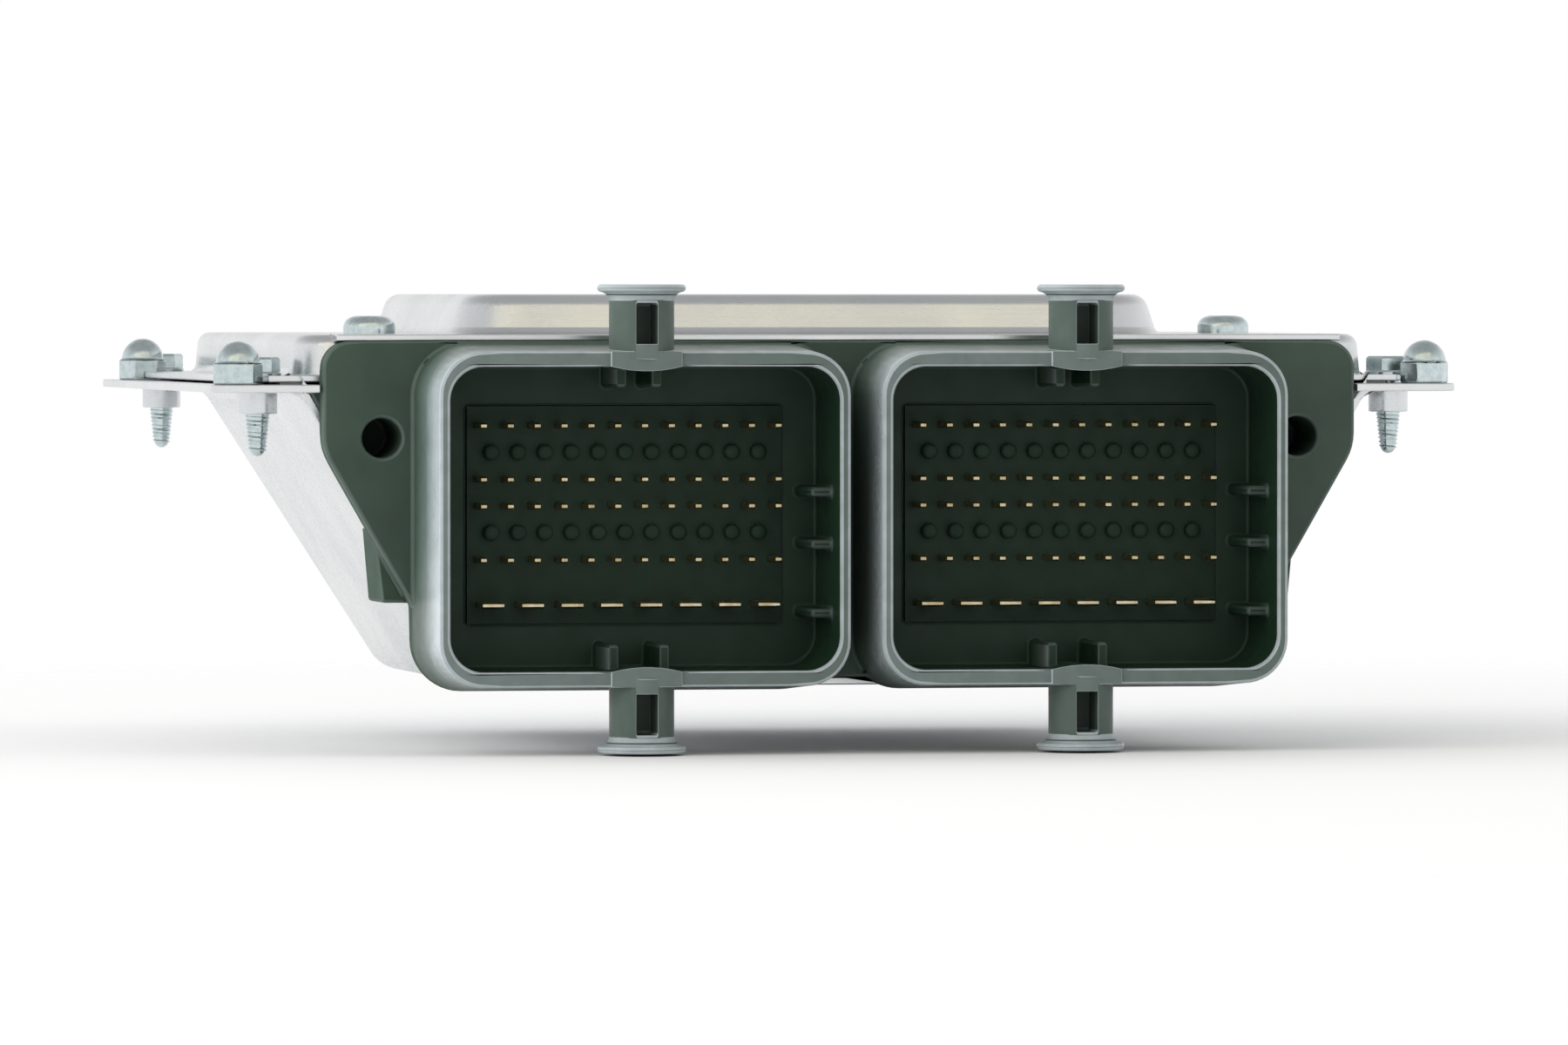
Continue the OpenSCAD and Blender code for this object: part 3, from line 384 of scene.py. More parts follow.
def rolled_aluminium():
    """Aluminium sheet, rolled and pressed: bright, with faint lines along the rolling direction."""
    material, tree, shader = shader_start("aluminium_sheet_rolled")
    bright = tuple(bpy.context.scene.ecu_colours.sheet)
    inputs = {0: mottle(tree, 14.0, 0.0, 1.0), 6: bright, 7: to_linear("#d5d8da")}
    tone = add_node(tree, "ShaderNodeMix", inputs, data_type="RGBA")
    tree.links.new(tone.outputs[2], shader.inputs["Base Color"])
    shader.inputs["Metallic"].default_value = 1.0
    # Rolling lines are a few hundredths of a millimetre apart, too fine to show, so they are drawn coarser.
    lines = {"size_mm": 0.5, "detail": 2.0, "stretch": (0.02, 1, 1)}
    inputs = {0: mottle(tree, low=0.0, high=0.07, **lines), 1: mottle(tree, 14.0, 0.21, 0.27)}
    dull = add_node(tree, "ShaderNodeMath", inputs, operation="ADD")
    tree.links.new(dull.outputs[0], shader.inputs["Roughness"])
    inputs = {"Height": cloud(tree, **lines), "Strength": 0.03, "Distance": 0.01 * MM}
    ripple = add_node(tree, "ShaderNodeBump", inputs)
    tree.links.new(ripple.outputs["Normal"], shader.inputs["Normal"])
    return material


def finish_piece(piece, material, slot, *nodes):
    """Gives a piece its material, and puts it on the body in place of its CAD nodes."""
    piece.data.materials.clear()
    piece.data.materials.append(material)
    piece.data.polygons.foreach_set("material_index", [0] * len(piece.data.polygons))
    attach(piece, "root")
    if nodes:
        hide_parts(*nodes)
    return piece


def coat(node, material):
    """Gives a CAD node its finish and leaves its shape alone."""
    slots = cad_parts[node].material_slots
    if not slots:
        raise RuntimeError(f"{node} has no material slot")
    for slot in slots:
        slot.material = material


def link_mesh(name, mesh):
    """A new object in the scene that holds the mesh at the origin."""
    piece = bpy.data.objects.new(name, mesh)
    bpy.context.scene.collection.objects.link(piece)
    return piece


def bake_modifiers(piece):
    """Replaces a piece's mesh by its evaluated one and removes its modifiers."""
    bpy.context.view_layer.update()
    graph = bpy.context.evaluated_depsgraph_get()
    mesh = bpy.data.meshes.new_from_object(piece.evaluated_get(graph), depsgraph=graph)
    piece.modifiers.clear()
    piece.data = mesh
    return piece


def drop_slivers(piece):
    """Takes out faces and edges too small to have a shape."""
    work = bmesh.new()
    work.from_mesh(piece.data)
    bmesh.ops.dissolve_degenerate(work, dist=SLIVER, edges=work.edges)
    work.to_mesh(piece.data)
    work.free()
    return piece


def smooth_rounds(piece):
    """Smooth shading that keeps the sharp edges."""
    piece.data.shade_smooth()
    piece.data.set_sharp_from_angle(angle=SMOOTH_ANGLE)
    return piece


def welded(node, cuts):
    """A copy of a CAD node's mesh whose flat faces are whole, but for cuts at places along X and Y."""
    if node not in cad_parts:
        raise RuntimeError(f"no solid named {node}")
    work = bmesh.new()
    work.from_mesh(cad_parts[node].data)
    bmesh.ops.remove_doubles(work, verts=work.verts, dist=WELD_GAP)
    for way, places in zip((Vector((1, 0, 0)), Vector((0, 1, 0))), cuts):
        for place in places:
            whole = work.verts[:] + work.edges[:] + work.faces[:]
            cut = bmesh.ops.bisect_plane(
                work, geom=whole, dist=CUT_GAP, plane_co=way * place, plane_no=way
            )
            for item in cut["geom_cut"]:
                if isinstance(item, bmesh.types.BMEdge):
                    item.seam = True
    bmesh.ops.dissolve_limit(
        work, angle_limit=FLAT_ANGLE, verts=work.verts, edges=work.edges, delimit={"SEAM"}
    )
    for edge in work.edges:
        edge.seam = False
    return work


def is_bend(edge, start):
    """True where a level face of the sheet turns into a leaning wall, behind a starting depth."""
    if len(edge.link_faces) != 2:
        return False
    level, wall = sorted((abs(face.normal.z) for face in edge.link_faces), reverse=True)
    return level > 0.999 and 0.05 < wall < 0.95 and min(vert.co.y for vert in edge.verts) > start


def edge_room(edge, sharp):
    """How far a rounding may reach from an edge, by the lengths of the edges that leave its ends."""
    nearly_in_line = 0.85
    own_share = 0.9
    half_share = 0.45
    room = math.inf
    along = (edge.verts[1].co - edge.verts[0].co).normalized()
    for vert in edge.verts:
        for other in vert.link_edges:
            far = other.other_vert(vert)
            way = (far.co - vert.co).normalized()
            if other == edge or (other in sharp and abs(way.dot(along)) > nearly_in_line):
                continue
            shared = other in sharp or any(link in sharp for link in far.link_edges)
            room = min(room, other.calc_length() * (half_share if shared else own_share))
    return room


def at_post_foot(edge):
    """True where a lever post stands on its rim and the edges meet in narrow wedges."""
    middle = (edge.verts[0].co + edge.verts[1].co) / 2
    across = abs(middle.x - math.copysign(SHROUD_X, middle.x))
    along = abs(middle.z - SHROUD_Z)
    on_rim = CAVITY_HALF_H - 1.5 * MM < along < RIM_HALF_H + 4.0 * MM
    return across < POST_FOOT_HALF and on_rim and middle.y < -0.1 * RIM_REACH


def rounded_copy(
    node, name, radius, segments=3, cuts=(), bend=0.0, inner_bend=0.0, bend_start=0.0, fine=None
):
    """A welded copy of a CAD node with its edges rounded, fine ones less, and its bends on larger radii."""
    work = welded(node, cuts)
    widest = max(radius, bend, inner_bend)
    weights = work.edges.layers.float.new("bevel_weight_edge")
    inner = [edge for edge in work.edges if len(edge.link_faces) == 2]
    sharp = {edge for edge in inner if edge.calc_face_angle(0) > SHARP_ANGLE}
    for edge in sharp:
        room = edge_room(edge, sharp)
        if fine and fine(edge):
            edge[weights] = min(FINE_EDGE, room) / widest
        elif room > LEAST_ROOM * radius:
            edge[weights] = min(radius, room) / widest
    for edge in work.edges:
        if bend and is_bend(edge, bend_start):
            edge[weights] = (inner_bend if edge.is_convex else bend) / widest
    mesh = bpy.data.meshes.new(name)
    work.to_mesh(mesh)
    work.free()
    mesh.shade_smooth()
    mesh.set_sharp_from_angle(angle=SHARP_ANGLE)
    mesh.materials.append(None)
    mesh.materials.append(None)
    piece = link_mesh(name, mesh)
    bevel = piece.modifiers.new("edges", "BEVEL")
    bevel.width = widest
    bevel.segments = segments
    bevel.limit_method = "WEIGHT"
    bevel.use_clamp_overlap = False
    bevel.miter_outer = "MITER_ARC"
    bevel.material = 1
    drop_slivers(bake_modifiers(piece))
    even = piece.modifiers.new("even_shading", "WEIGHTED_NORMAL")
    even.weight = 80
    even.keep_sharp = True
    return bake_modifiers(piece)


def mark_wear_and_painted_light(piece):
    """Writes on each face how plugs rub it and where light and shade are painted: edges, posts and rims, and
    the outsides of the shrouds, which take wear and a painted highlight (left-facing walls the most), and the
    inside of the shrouds, which takes painted shade.
    """
    mesh = piece.data
    margin = 0.1 * MM
    post_back = -0.3 * RIM_REACH
    rim_front = -0.995 * RIM_REACH
    shelter_front = 0.6 * MM - RIM_REACH
    marks = {"edge_wear_and_highlight": [], "rubbed": [], "wall_wear_and_highlight": [], "left_wall_highlight": [], "cavity": []}
    for face in mesh.polygons:
        place = face.center
        way = face.normal
        across = place.x - math.copysign(SHROUD_X, place.x)
        along = place.z - SHROUD_Z
        post = abs(along) > RIM_HALF_H + WALL_HALF and place.y < post_back
        rim = place.y < rim_front
        outside = place.y < 0 and across * way.x + along * way.z > 0 and abs(way.y) < 0.6
        in_outline = abs(across) < CAVITY_HALF_W + WALL_HALF and abs(along) < CAVITY_HALF_H + WALL_HALF
        inside = in_outline and place.y < CAVITY_FLOOR + margin and abs(place.y) > margin
        sheltered = inside and place.y > shelter_front
        if abs(along) > POST_HEAD and abs(way.z) < 0.9:
            rubbed = POST_HEAD_WEAR
        elif post:
            rubbed = POST_WEAR
        elif rim:
            rubbed = RIM_WEAR_AND_SHEEN
        else:
            rubbed = 0.0
        # Faces that turn to the left take a painted highlight, strongest where they face straight left.
        left = max(0.0, -way.x)
        walls = outside and not post
        # The rounding of the edges gave its faces the second material slot.
        # The edge marks are wear and a painted highlight, weaker on edges inside the shrouds.
        marks["edge_wear_and_highlight"].append(face.material_index * (SHELTERED_EDGE_WEAR_AND_SHEEN if sheltered else 1.0))
        marks["rubbed"].append(rubbed)
        # The outer walls take wear and a painted highlight, more on left-facing walls.
        marks["wall_wear_and_highlight"].append(0.5 + 0.5 * left if walls else 0.0)
        marks["left_wall_highlight"].append(left**3 if walls else 0.0)
        # Painted shade: faces inside the shrouds, but for the rims and outer walls, are marked to be painted
        # darker.
        marks["cavity"].append(1.0 if inside and not rim and not outside else 0.0)
    for name, values in marks.items():
        mesh.attributes.new(name, "FLOAT", "FACE").data.foreach_set("value", values)


def start_tree(name, inputs):
    """A Geometry Nodes tree on a set of points, with named inputs; returns the tree and its input node."""
    tree = bpy.data.node_groups.new(name, "GeometryNodeTree")
    tree.interface.new_socket("Geometry", in_out="INPUT", socket_type="NodeSocketGeometry")
    for label, kind in inputs:
        tree.interface.new_socket(label, in_out="INPUT", socket_type=kind)
    tree.interface.new_socket("Geometry", in_out="OUTPUT", socket_type="NodeSocketGeometry")
    return tree, add_node(tree, "NodeGroupInput")


def end_tree(tree, given, shape):
    """Sets the shape on every point of the tree, realized and with its material."""
    inputs = {"Points": given.outputs["Geometry"], "Instance": shape}
    copies = add_node(tree, "GeometryNodeInstanceOnPoints", inputs)
    real = add_node(tree, "GeometryNodeRealizeInstances", {"Geometry": copies})
    inputs = {"Geometry": real, "Material": given.outputs["Material"]}
    finish = add_node(tree, "GeometryNodeSetMaterial", inputs)
    add_node(tree, "NodeGroupOutput", {"Geometry": finish})


def grow(name, tree, points, values):
    """Runs a tree on points and returns the result as a plain mesh object."""
    mesh = bpy.data.meshes.new(name)
    mesh.from_pydata(points, [], [])
    piece = link_mesh(name, mesh)
    modifier = piece.modifiers.new("copies", "NODES")
    modifier.node_group = tree
    for item in tree.interface.items_tree:
        if item.in_out == "INPUT" and item.name in values:
            modifier[item.identifier] = values[item.name]
    return smooth_rounds(drop_slivers(bake_modifiers(piece)))


def centres(node, count):
    """Centres in X and Y of the separate solids of a CAD node."""
    work = bmesh.new()
    work.from_mesh(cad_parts[node].data)
    bmesh.ops.remove_doubles(work, verts=work.verts, dist=WELD_GAP)
    left = set(work.verts)
    found = []
    while left:
        island = [left.pop()]
        for vert in island:
            for edge in vert.link_edges:
                other = edge.other_vert(vert)
                if other in left:
                    left.remove(other)
                    island.append(other)
        low = [min(v.co[k] for v in island) for k in range(2)]
        high = [max(v.co[k] for v in island) for k in range(2)]
        found.append(((low[0] + high[0]) / 2, (low[1] + high[1]) / 2))
    work.free()
    if len(found) != count:
        raise RuntimeError(f"{node} has {len(found)} solids, not {count}")
    return sorted(found)


def screw_tree():
    """A hexagon screw with a washer face, a thread and a tapered end, hung from its seat."""
    lengths = [
        "Washer Radius",
        "Washer Height",
        "Hex Radius",
        "Hex Height",
        "Shank Radius",
        "Shank Length",
        "Tip Radius",
        "Tip Length",
        "Pitch",
    ]
    inputs = [(label, "NodeSocketFloat") for label in lengths] + [("Material", "NodeSocketMaterial")]
    tree, given = start_tree("Cover Screw", inputs)
    size = {label: given.outputs[label] for label in lengths}
    size["Seat"] = 0.0
    derived = [
        ("Chamfer", "MULTIPLY", "Hex Height", 0.16),
        ("Flats", "SUBTRACT", "Hex Height", "Chamfer"),
        ("Crown Radius", "MULTIPLY", "Hex Radius", 0.9),
        ("Chamfer Place", "ADD", "Washer Height", "Flats"),
        ("Brim", "MULTIPLY", "Washer Height", 0.5),
        ("Brim Radius", "MULTIPLY", "Washer Radius", 0.94),
        ("Core Radius", "MULTIPLY", "Shank Radius", 0.92),
        ("Tip Core", "MULTIPLY", "Tip Radius", 0.92),
        ("Shank End", "MULTIPLY", "Shank Length", -1.0),
        ("Tip End", "SUBTRACT", "Shank End", "Tip Length"),
        ("Taper Length", "SUBTRACT", "Tip Length", "Tip Core"),
        ("Taper End", "ADD", "Tip End", "Tip Core"),
        ("Ridge Radius", "MULTIPLY", "Pitch", 0.24),
        ("Ridge Start", "MULTIPLY", "Tip Radius", 0.98),
        ("Ridge Length", "MULTIPLY", "Tip Length", 0.86),
        ("Ridge End", "SUBTRACT", "Shank End", "Ridge Length"),
        ("Turns", "DIVIDE", "Ridge Length", "Pitch"),
    ]
    for label, operation, one, two in derived:
        inputs = {0: size[one], 1: size.get(two, two)}
        size[label] = add_node(tree, "ShaderNodeMath", inputs, operation=operation)
    # Sides, radius at the top and at the bottom, depth, and height of the lower end.
    cones = [
        (48, "Washer Radius", "Washer Radius", "Brim", "Seat"),
        (48, "Brim Radius", "Washer Radius", "Brim", "Brim"),
        (6, "Hex Radius", "Hex Radius", "Flats", "Washer Height"),
        (6, "Crown Radius", "Hex Radius", "Chamfer", "Chamfer Place"),
        (32, "Core Radius", "Core Radius", "Shank Length", "Shank End"),
        (32, "Core Radius", "Tip Core", "Taper Length", "Taper End"),
    ]
    parts = []
    for sides, top, bottom, depth, height in cones:
        inputs = {"Vertices": sides, "Depth": size[depth]}
        inputs |= {"Radius Top": size[top], "Radius Bottom": size[bottom]}
        parts.append((add_node(tree, "GeometryNodeMeshCone", inputs), height))
    inputs = {"Segments": 24, "Rings": 12, "Radius": size["Tip Core"]}
    parts.append((add_node(tree, "GeometryNodeMeshUVSphere", inputs), "Taper End"))
    inputs = {"Resolution": 28, "Rotations": size["Turns"], "Height": size["Ridge Length"]}
    inputs |= {"Start Radius": size["Ridge Start"], "End Radius": size["Core Radius"]}
    spiral = add_node(tree, "GeometryNodeCurveSpiral", inputs)
    inputs = {"Resolution": 4, "Radius": size["Ridge Radius"]}
    profile = add_node(tree, "GeometryNodeCurvePrimitiveCircle", inputs)
    inputs = {"Curve": spiral, "Profile Curve": profile, "Fill Caps": True}
    ridge = add_node(tree, "GeometryNodeCurveToMesh", inputs)
    body = add_node(tree, "GeometryNodeMeshBoolean", operation="UNION", solver="MANIFOLD")
    shape = add_node(tree, "GeometryNodeJoinGeometry")
    tree.links.new(body.outputs["Mesh"], shape.inputs["Geometry"])
    goals = [body.inputs["Mesh 2"]] * len(parts) + [shape.inputs["Geometry"]]
    for (part, height), goal in zip(parts + [(ridge, "Ridge End")], goals):
        lift = add_node(tree, "ShaderNodeCombineXYZ", {"Z": size[height]})
        raised = add_node(tree, "GeometryNodeTransform", {"Geometry": part, "Translation": lift})
        tree.links.new(raised.outputs["Geometry"], goal)
    end_tree(tree, given, shape)
    return tree


def dome_tree():
    """A flattened ball on every point, of which the front half shows."""
    inputs = [("Radius", "NodeSocketFloat"), ("Swell", "NodeSocketFloat"), ("Material", "NodeSocketMaterial")]
    tree, given = start_tree("Domes", inputs)
    inputs = {"Segments": 20, "Rings": 10, "Radius": given.outputs["Radius"]}
    ball = add_node(tree, "GeometryNodeMeshUVSphere", inputs)
    squash = add_node(tree, "ShaderNodeCombineXYZ", {"X": 1.0, "Y": given.outputs["Swell"], "Z": 1.0})
    dome = add_node(tree, "GeometryNodeTransform", {"Geometry": ball, "Scale": squash})
    end_tree(tree, given, dome)
    return tree


def copies_tree():
    """Copies of one given object on every point."""
    inputs = [("Piece", "NodeSocketObject"), ("Material", "NodeSocketMaterial")]
    tree, given = start_tree("Copies", inputs)
    inputs = {"Object": given.outputs["Piece"], "As Instance": False}
    info = add_node(tree, "GeometryNodeObjectInfo", inputs)
    end_tree(tree, given, info.outputs["Geometry"])
    return tree


def lobed_head():
    """One header screw: a domed head with a six-lobed recess, and its shank."""
    turns = 72
    lobes = 6
    top = LOBED_HEAD_HEIGHT / MM
    # Radius and height of each ring in millimetres, and how deep its lobes are as a share of the radius.
    rings = [
        (1.46, -10.2, 0),
        (1.46, 0, 0),
        (3.3, 0, 0),
        (3.3, 0.9, 0),
        (3.2, 1.35, 0),
        (2.95, 1.75, 0),
        (2.55, 2.05, 0),
        (2.1, top - 0.08, 0),
        (1.75, top, 0),
        (1.45, top, 0.16),
        (1.4, 1.0, 0.16),
        (0.5, 0.85, 0),
    ]
    verts = []
    for radius, height, lobe in rings:
        for step in range(turns):
            angle = 2 * math.pi * step / turns
            reach = radius * (1 - lobe * (0.5 + 0.5 * math.cos(lobes * angle)))
            verts.append((reach * math.cos(angle) * MM, reach * math.sin(angle) * MM, height * MM))
    faces = [tuple(reversed(range(turns)))]
    for ring in range(len(rings) - 1):
        for step in range(turns):
            here = ring * turns + step
            following = ring * turns + (step + 1) % turns
            faces.append((here, following, following + turns, here + turns))
    last = (len(rings) - 1) * turns
    faces.append(tuple(range(last, last + turns)))
    mesh = bpy.data.meshes.new("lobed_head")
    mesh.from_pydata(verts, [], faces)
    return link_mesh("lobed_head", mesh)


class ECU_OT_header(bpy.types.Operator):
    """Makes the moulded header with rounded edges, and its two terminal blocks"""

    bl_idname = "ecu.header"
    bl_label = "Header"

    def execute(self, context):
        edges = context.scene.ecu_edges
        plastic = moulded_polyester()
        places = [0.0, -EAR_HOLE_X, EAR_HOLE_X, -ARM_HOLE_X, ARM_HOLE_X]
        for middle in (-SHROUD_X, SHROUD_X):
            places += [middle - POST_FOOT_HALF, middle, middle + POST_FOOT_HALF]
        header = rounded_copy(
            "connector_header", "header_moulding", edges.header, cuts=(places, ()), fine=at_post_foot
        )
        mark_wear_and_painted_light(header)
        finish_piece(header, plastic, "header_plastic", "connector_header")
        blocks = carrier_polyester()
        coat("left_pin_carrier", blocks)
        coat("right_pin_carrier", blocks)
        return {"FINISHED"}


class ECU_OT_bumps(bpy.types.Operator):
    """Domes the bumps between the rows of pins"""

    bl_idname = "ecu.bumps"
    bl_label = "Bumps"

    def execute(self, context):
        places = []
        for side in ("left", "right"):
            low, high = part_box(f"{side}_signal_pins")
            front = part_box(f"{side}_pin_carrier")[0].y
            middle = (low.x + high.x) / 2
            for row in BUMP_ROWS:
                for number in range(BUMPS_IN_ROW):
                    step = number - BUMPS_IN_ROW // 2
                    places.append((middle + step * PIN_PITCH, front, row))
        material = bpy.data.materials["terminal_block_polyester_moulded"]
        values = {"Radius": BUMP_RADIUS, "Swell": BUMP_SWELL, "Material": material}
        domes = grow("bump_domes", dome_tree(), places, values)
        finish_piece(domes, material, "carrier_plastic")
        return {"FINISHED"}


class ECU_OT_terminals(bpy.types.Operator):
    """Makes the pins and blades with broken edges"""

    bl_idname = "ecu.terminals"
    bl_label = "Terminals"

    def execute(self, context):
        radius = context.scene.ecu_edges.terminal
        gold = mottled_finish("bronze_gold_plated")
        tin = mottled_finish("brass_tin_plated")
        for side in ("left", "right"):
            pins = rounded_copy(f"{side}_signal_pins", f"{side}_pins", radius, 2)
            finish_piece(pins, gold, "gold_plate", f"{side}_signal_pins")
            blades = rounded_copy(f"{side}_power_blades", f"{side}_blades", radius, 2)
            finish_piece(blades, tin, "tin_plate", f"{side}_power_blades")
        return {"FINISHED"}


class ECU_OT_housing(bpy.types.Operator):
    """Makes the pressed cover and the drawn pan"""

    bl_idname = "ecu.housing"
    bl_label = "Housing"

    def execute(self, context):
        radius = context.scene.ecu_edges.sheet
        metal = rolled_aluminium()
        rows = {y for node, count in FASTENERS.items() for x, y in centres(node, count)}
        cuts = ((0.0,), sorted(rows))
        cover = rounded_copy(
            "top_cover",
            "pressed_cover",
            radius,
            segments=4,
            cuts=cuts,
            bend=COVER_BEND,
            inner_bend=COVER_BEND,
            bend_start=COVER_BEND_START,
        )
        finish_piece(cover, metal, "housing_aluminium", "top_cover")
        pan = rounded_copy(
            "bottom_pan",
            "drawn_pan",
            radius,
            segments=5,
            cuts=cuts,
            bend=PAN_BEND,
            inner_bend=PAN_INNER_BEND,
        )
        finish_piece(pan, metal, "housing_aluminium", "bottom_pan")
        return {"FINISHED"}


class ECU_OT_fasteners(bpy.types.Operator):
    """Makes the cover screws, the header screws and the cap nuts"""

    bl_idname = "ecu.fasteners"
    bl_label = "Fasteners"

    def execute(self, context):
        sizes = context.scene.ecu_screws
        zinc = mottled_finish("steel_zinc_plated", tuple(context.scene.ecu_colours.plating))
        low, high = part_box("cover_screws")
        seat = high.z - sizes.washer_height - sizes.hex_height
        places = [(x, y, seat) for x, y in centres("cover_screws", FASTENERS["cover_screws"])]
        values = {
            "Washer Radius": sizes.washer_radius,
            "Washer Height": sizes.washer_height,
            "Hex Radius": sizes.hex_radius,
            "Hex Height": sizes.hex_height,
            "Shank Radius": sizes.shank_radius,
            "Shank Length": seat - low.z - sizes.tip_length,
            "Tip Radius": sizes.tip_radius,
            "Tip Length": sizes.tip_length,
            "Pitch": sizes.pitch,
            "Material": zinc,
        }
        screws = grow("threaded_screws", screw_tree(), places, values)
        finish_piece(screws, zinc, "zinc_plate", "cover_screws")
        head = lobed_head()
        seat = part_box("header_screws")[1].z - LOBED_HEAD_HEIGHT
        places = [(x, y, seat) for x, y in centres("header_screws", FASTENERS["header_screws"])]
        heads = grow("lobed_screws", copies_tree(), places, {"Piece": head, "Material": zinc})
        bpy.data.objects.remove(head)
        finish_piece(heads, zinc, "zinc_plate", "header_screws")
        nuts = rounded_copy("mounting_cap_nuts", "cap_nuts", NUT_EDGE)
        finish_piece(nuts, zinc, "zinc_plate", "mounting_cap_nuts")
        return {"FINISHED"}


class ECU_OT_inside(bpy.types.Operator):
    """Gives the seals, the board and what stands on it their finishes"""

    bl_idname = "ecu.inside"
    bl_label = "Inside"

    def execute(self, context):
        finishes = {
            "housing_seal": "silicone_cured_bead",
            "header_seal": "silicone_cured_bead",
            "circuit_board": "glass_laminate_solder_masked",
            "board_standoffs": "steel_tin_plated",
            "board_screws": "steel_zinc_plated",
            "microcontroller": "chip_epoxy_moulded",
            "memory_chip": "chip_epoxy_moulded",
            "signal_chips": "chip_epoxy_moulded",
            "driver_chips": "chip_epoxy_moulded",
            "driver_thermal_pads": "gap_pad_silicone",
            "power_transistors": "chip_epoxy_moulded",
            "transistor_thermal_pads": "gap_pad_silicone",
            "voltage_regulator": "chip_epoxy_moulded",
            "reverse_polarity_diode": "chip_epoxy_moulded",
            "quartz_crystal": "steel_tin_plated",
            "air_pressure_sensor": "chip_epoxy_moulded",
            "chip_capacitors": "capacitor_body_fired",
            "buffer_capacitors": "can_aluminium_drawn",
            "filter_choke_core": "ferrite_sintered",
            "filter_choke_winding": "copper_wire_enamelled",
        }
        for node, name in finishes.items():
            coat(node, bpy.data.materials.get(name) or mottled_finish(name))
        return {"FINISHED"}


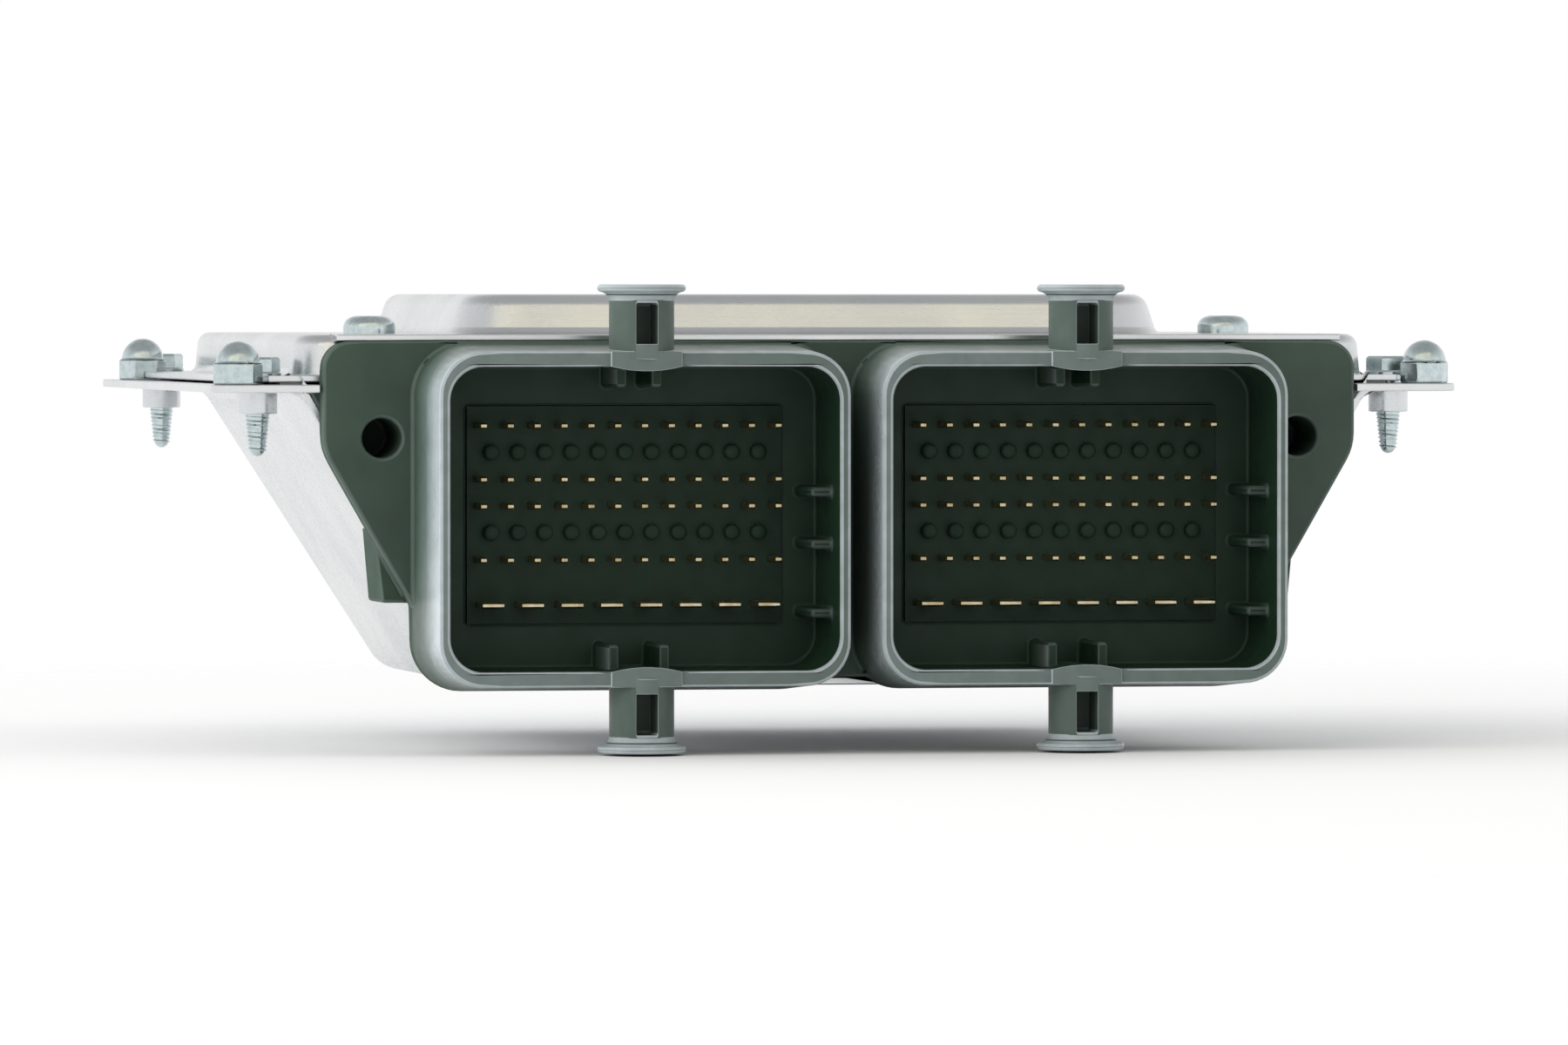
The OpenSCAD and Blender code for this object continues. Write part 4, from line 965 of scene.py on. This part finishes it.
class ECU_OT_stage(bpy.types.Operator):
    """Sets the floor, the light and the camera"""

    bl_idname = "ecu.stage"
    bl_label = "Stage"

    def execute(self, context):
        scene = context.scene
        scene.view_settings.view_transform = "Standard"
        self.floor()
        self.world(scene)
        self.lamps(scene)
        self.card()
        self.camera(scene)
        return {"FINISHED"}

    def floor(self):
        """A sheet of white paper that fades into the background beyond the object's shadow."""
        half = 4.0
        shadow_reach = 0.14
        paper_reach = 0.42
        level = cad_bounds[0][2] - 0.3 * MM
        mesh = bpy.data.meshes.new("floor")
        corners = [(-half, -half, level), (half, -half, level), (half, half, level), (-half, half, level)]
        mesh.from_pydata(corners, [], [(0, 1, 2, 3)])
        floor = link_mesh("floor", mesh)
        material, tree, shader = shader_start("paper_white_matt")
        shader.inputs["Base Color"].default_value = to_linear("#f6f6f6")
        shader.inputs["Roughness"].default_value = 0.9
        shader.inputs["Specular IOR Level"].default_value = 0.0
        coords = add_node(tree, "ShaderNodeTexCoord").outputs["Object"]
        reach = add_node(tree, "ShaderNodeVectorMath", {0: coords}, operation="LENGTH").outputs["Value"]
        inputs = {"Value": reach, "From Min": shadow_reach, "From Max": paper_reach}
        fade = add_node(tree, "ShaderNodeMapRange", inputs, interpolation_type="SMOOTHSTEP")
        clear = add_node(tree, "ShaderNodeBsdfTransparent")
        paper = add_node(tree, "ShaderNodeMixShader", {0: fade, 1: shader, 2: clear})
        tree.links.new(paper.outputs["Shader"], tree.nodes["Material Output"].inputs["Surface"])
        mesh.materials.append(material)

    def world(self, scene):
        """A light tent: a soft room for matt surfaces, and a white sky, grey overhead, for eye and metal."""
        world = bpy.data.worlds.new("light_tent")
        world.use_nodes = True
        tree = world.node_tree
        tree.nodes.clear()
        way = add_node(tree, "ShaderNodeTexCoord").outputs["Generated"]
        parts = add_node(tree, "ShaderNodeSeparateXYZ", {"Vector": way}).outputs
        inputs = {"Value": parts["Y"], "From Min": -0.9, "From Max": 0.1, "To Min": 0.4, "To Max": 1.0}
        room = add_node(tree, "ShaderNodeMapRange", inputs, interpolation_type="SMOOTHSTEP")
        inputs = {"Value": parts["Z"], "From Min": 0.08, "From Max": 0.9, "To Min": 1.0, "To Max": 0.45}
        sky = add_node(tree, "ShaderNodeMapRange", inputs, interpolation_type="SMOOTHSTEP")
        rays = add_node(tree, "ShaderNodeLightPath").outputs
        seen = rays["Is Camera Ray"]
        for kind in ("Is Glossy Ray", "Is Transmission Ray"):
            seen = add_node(tree, "ShaderNodeMath", {0: seen, 1: rays[kind]}, operation="MAXIMUM")
        strength = add_node(tree, "ShaderNodeMix", {0: seen, 2: room, 3: sky}, data_type="FLOAT")
        light = add_node(tree, "ShaderNodeBackground", {"Color": (1, 1, 1, 1), "Strength": strength})
        add_node(tree, "ShaderNodeOutputWorld", {"Surface": light})
        scene.world = world

    def lamps(self, scene):
        """Soft boxes; the metal mirrors the light tent in place of them."""
        # Name, place, aim, width, watts and colour.
        lamps = [
            ("key_softbox", (-0.9, -0.8, 0.8), (0, 0.02, 0), 1.2, 5.0, (1.0, 0.95, 0.86)),
            ("left_softbox", (-1.1, 0.1, 0.15), (0, 0.0, 0), 1.0, 8.0, (0.93, 0.96, 1.0)),
            ("fill_softbox", (0.9, -0.8, 0.5), (0, 0.02, 0), 1.0, 1.2, (1.0, 1.0, 1.0)),
        ]
        for name, place, target, width, watts, colour in lamps:
            data = bpy.data.lights.new(name, "AREA")
            data.color = colour
            data.size = width
            data.energy = watts
            lamp = bpy.data.objects.new(name, data)
            lamp.location = place
            lamp.visible_glossy = False
            aim = Vector(target) - Vector(place)
            lamp.rotation_euler = aim.to_track_quat("-Z", "Y").to_euler()
            scene.collection.objects.link(lamp)

    def card(self):
        """A warm board above the camera that only the metal sees."""
        left = -0.95
        right = 0.35
        low = (-0.675, 0.25)
        high = (-0.45, 0.55)
        mesh = bpy.data.meshes.new("warm_card")
        corners = [(left, *low), (right, *low), (right, *high), (left, *high)]
        mesh.from_pydata(corners, [], [(0, 1, 2, 3)])
        card = link_mesh("warm_card", mesh)
        material, tree, shader = shader_start("card_board_warm")
        shader.inputs["Base Color"].default_value = to_linear("#f0e9d6")
        shader.inputs["Roughness"].default_value = 0.9
        mesh.materials.append(material)
        card.visible_camera = False
        card.visible_diffuse = False
        card.visible_shadow = False

    def camera(self, scene):
        """The camera of the photograph."""
        values = scene.ecu_stage
        data = bpy.data.cameras.new("photo_camera")
        data.lens = values.lens
        data.sensor_width = 36.0
        data.sensor_fit = "HORIZONTAL"
        data.clip_end = 20.0
        camera = bpy.data.objects.new("photo_camera", data)
        flat = math.cos(values.elevation)
        back = Vector(
            (
                math.sin(values.azimuth) * flat,
                -math.cos(values.azimuth) * flat,
                math.sin(values.elevation),
            )
        )
        camera.location = Vector(values.aim) + back * values.distance
        camera.rotation_euler = (-back).to_track_quat("-Z", "Y").to_euler()
        scene.collection.objects.link(camera)
        scene.camera = camera


class ECU_PT_panel(bpy.types.Panel):
    """Lists the sizes, colours and steps of the control unit"""

    bl_idname = "ECU_PT_panel"
    bl_label = "Engine Control Unit"
    bl_space_type = "VIEW_3D"
    bl_region_type = "UI"
    bl_category = "Control Unit"

    def draw(self, context):
        layout = self.layout
        for group in ("ecu_colours", "ecu_edges", "ecu_screws", "ecu_stage"):
            values = getattr(context.scene, group)
            box = layout.box()
            for name in values.__annotations__:
                box.prop(values, name)
        for step in STEPS:
            layout.operator(step.bl_idname)


GROUPS = {
    "ecu_colours": FinishColours,
    "ecu_edges": EdgeSizes,
    "ecu_screws": ScrewSizes,
    "ecu_stage": StageSettings,
}
STEPS = (
    ECU_OT_header,
    ECU_OT_bumps,
    ECU_OT_terminals,
    ECU_OT_housing,
    ECU_OT_fasteners,
    ECU_OT_inside,
    ECU_OT_stage,
)


def register():
    for name, group in GROUPS.items():
        bpy.utils.register_class(group)
        setattr(bpy.types.Scene, name, bpy.props.PointerProperty(type=group))
    for step in STEPS:
        bpy.utils.register_class(step)
    bpy.utils.register_class(ECU_PT_panel)


def unregister():
    bpy.utils.unregister_class(ECU_PT_panel)
    for step in reversed(STEPS):
        bpy.utils.unregister_class(step)
    for name, group in GROUPS.items():
        delattr(bpy.types.Scene, name)
        bpy.utils.unregister_class(group)


def main():
    """Builds the pieces and the stage in order."""
    register()
    bpy.ops.ecu.header()
    bpy.ops.ecu.bumps()
    bpy.ops.ecu.terminals()
    bpy.ops.ecu.housing()
    bpy.ops.ecu.fasteners()
    bpy.ops.ecu.inside()
    bpy.ops.ecu.stage()


if __name__ == "__main__":
    main()
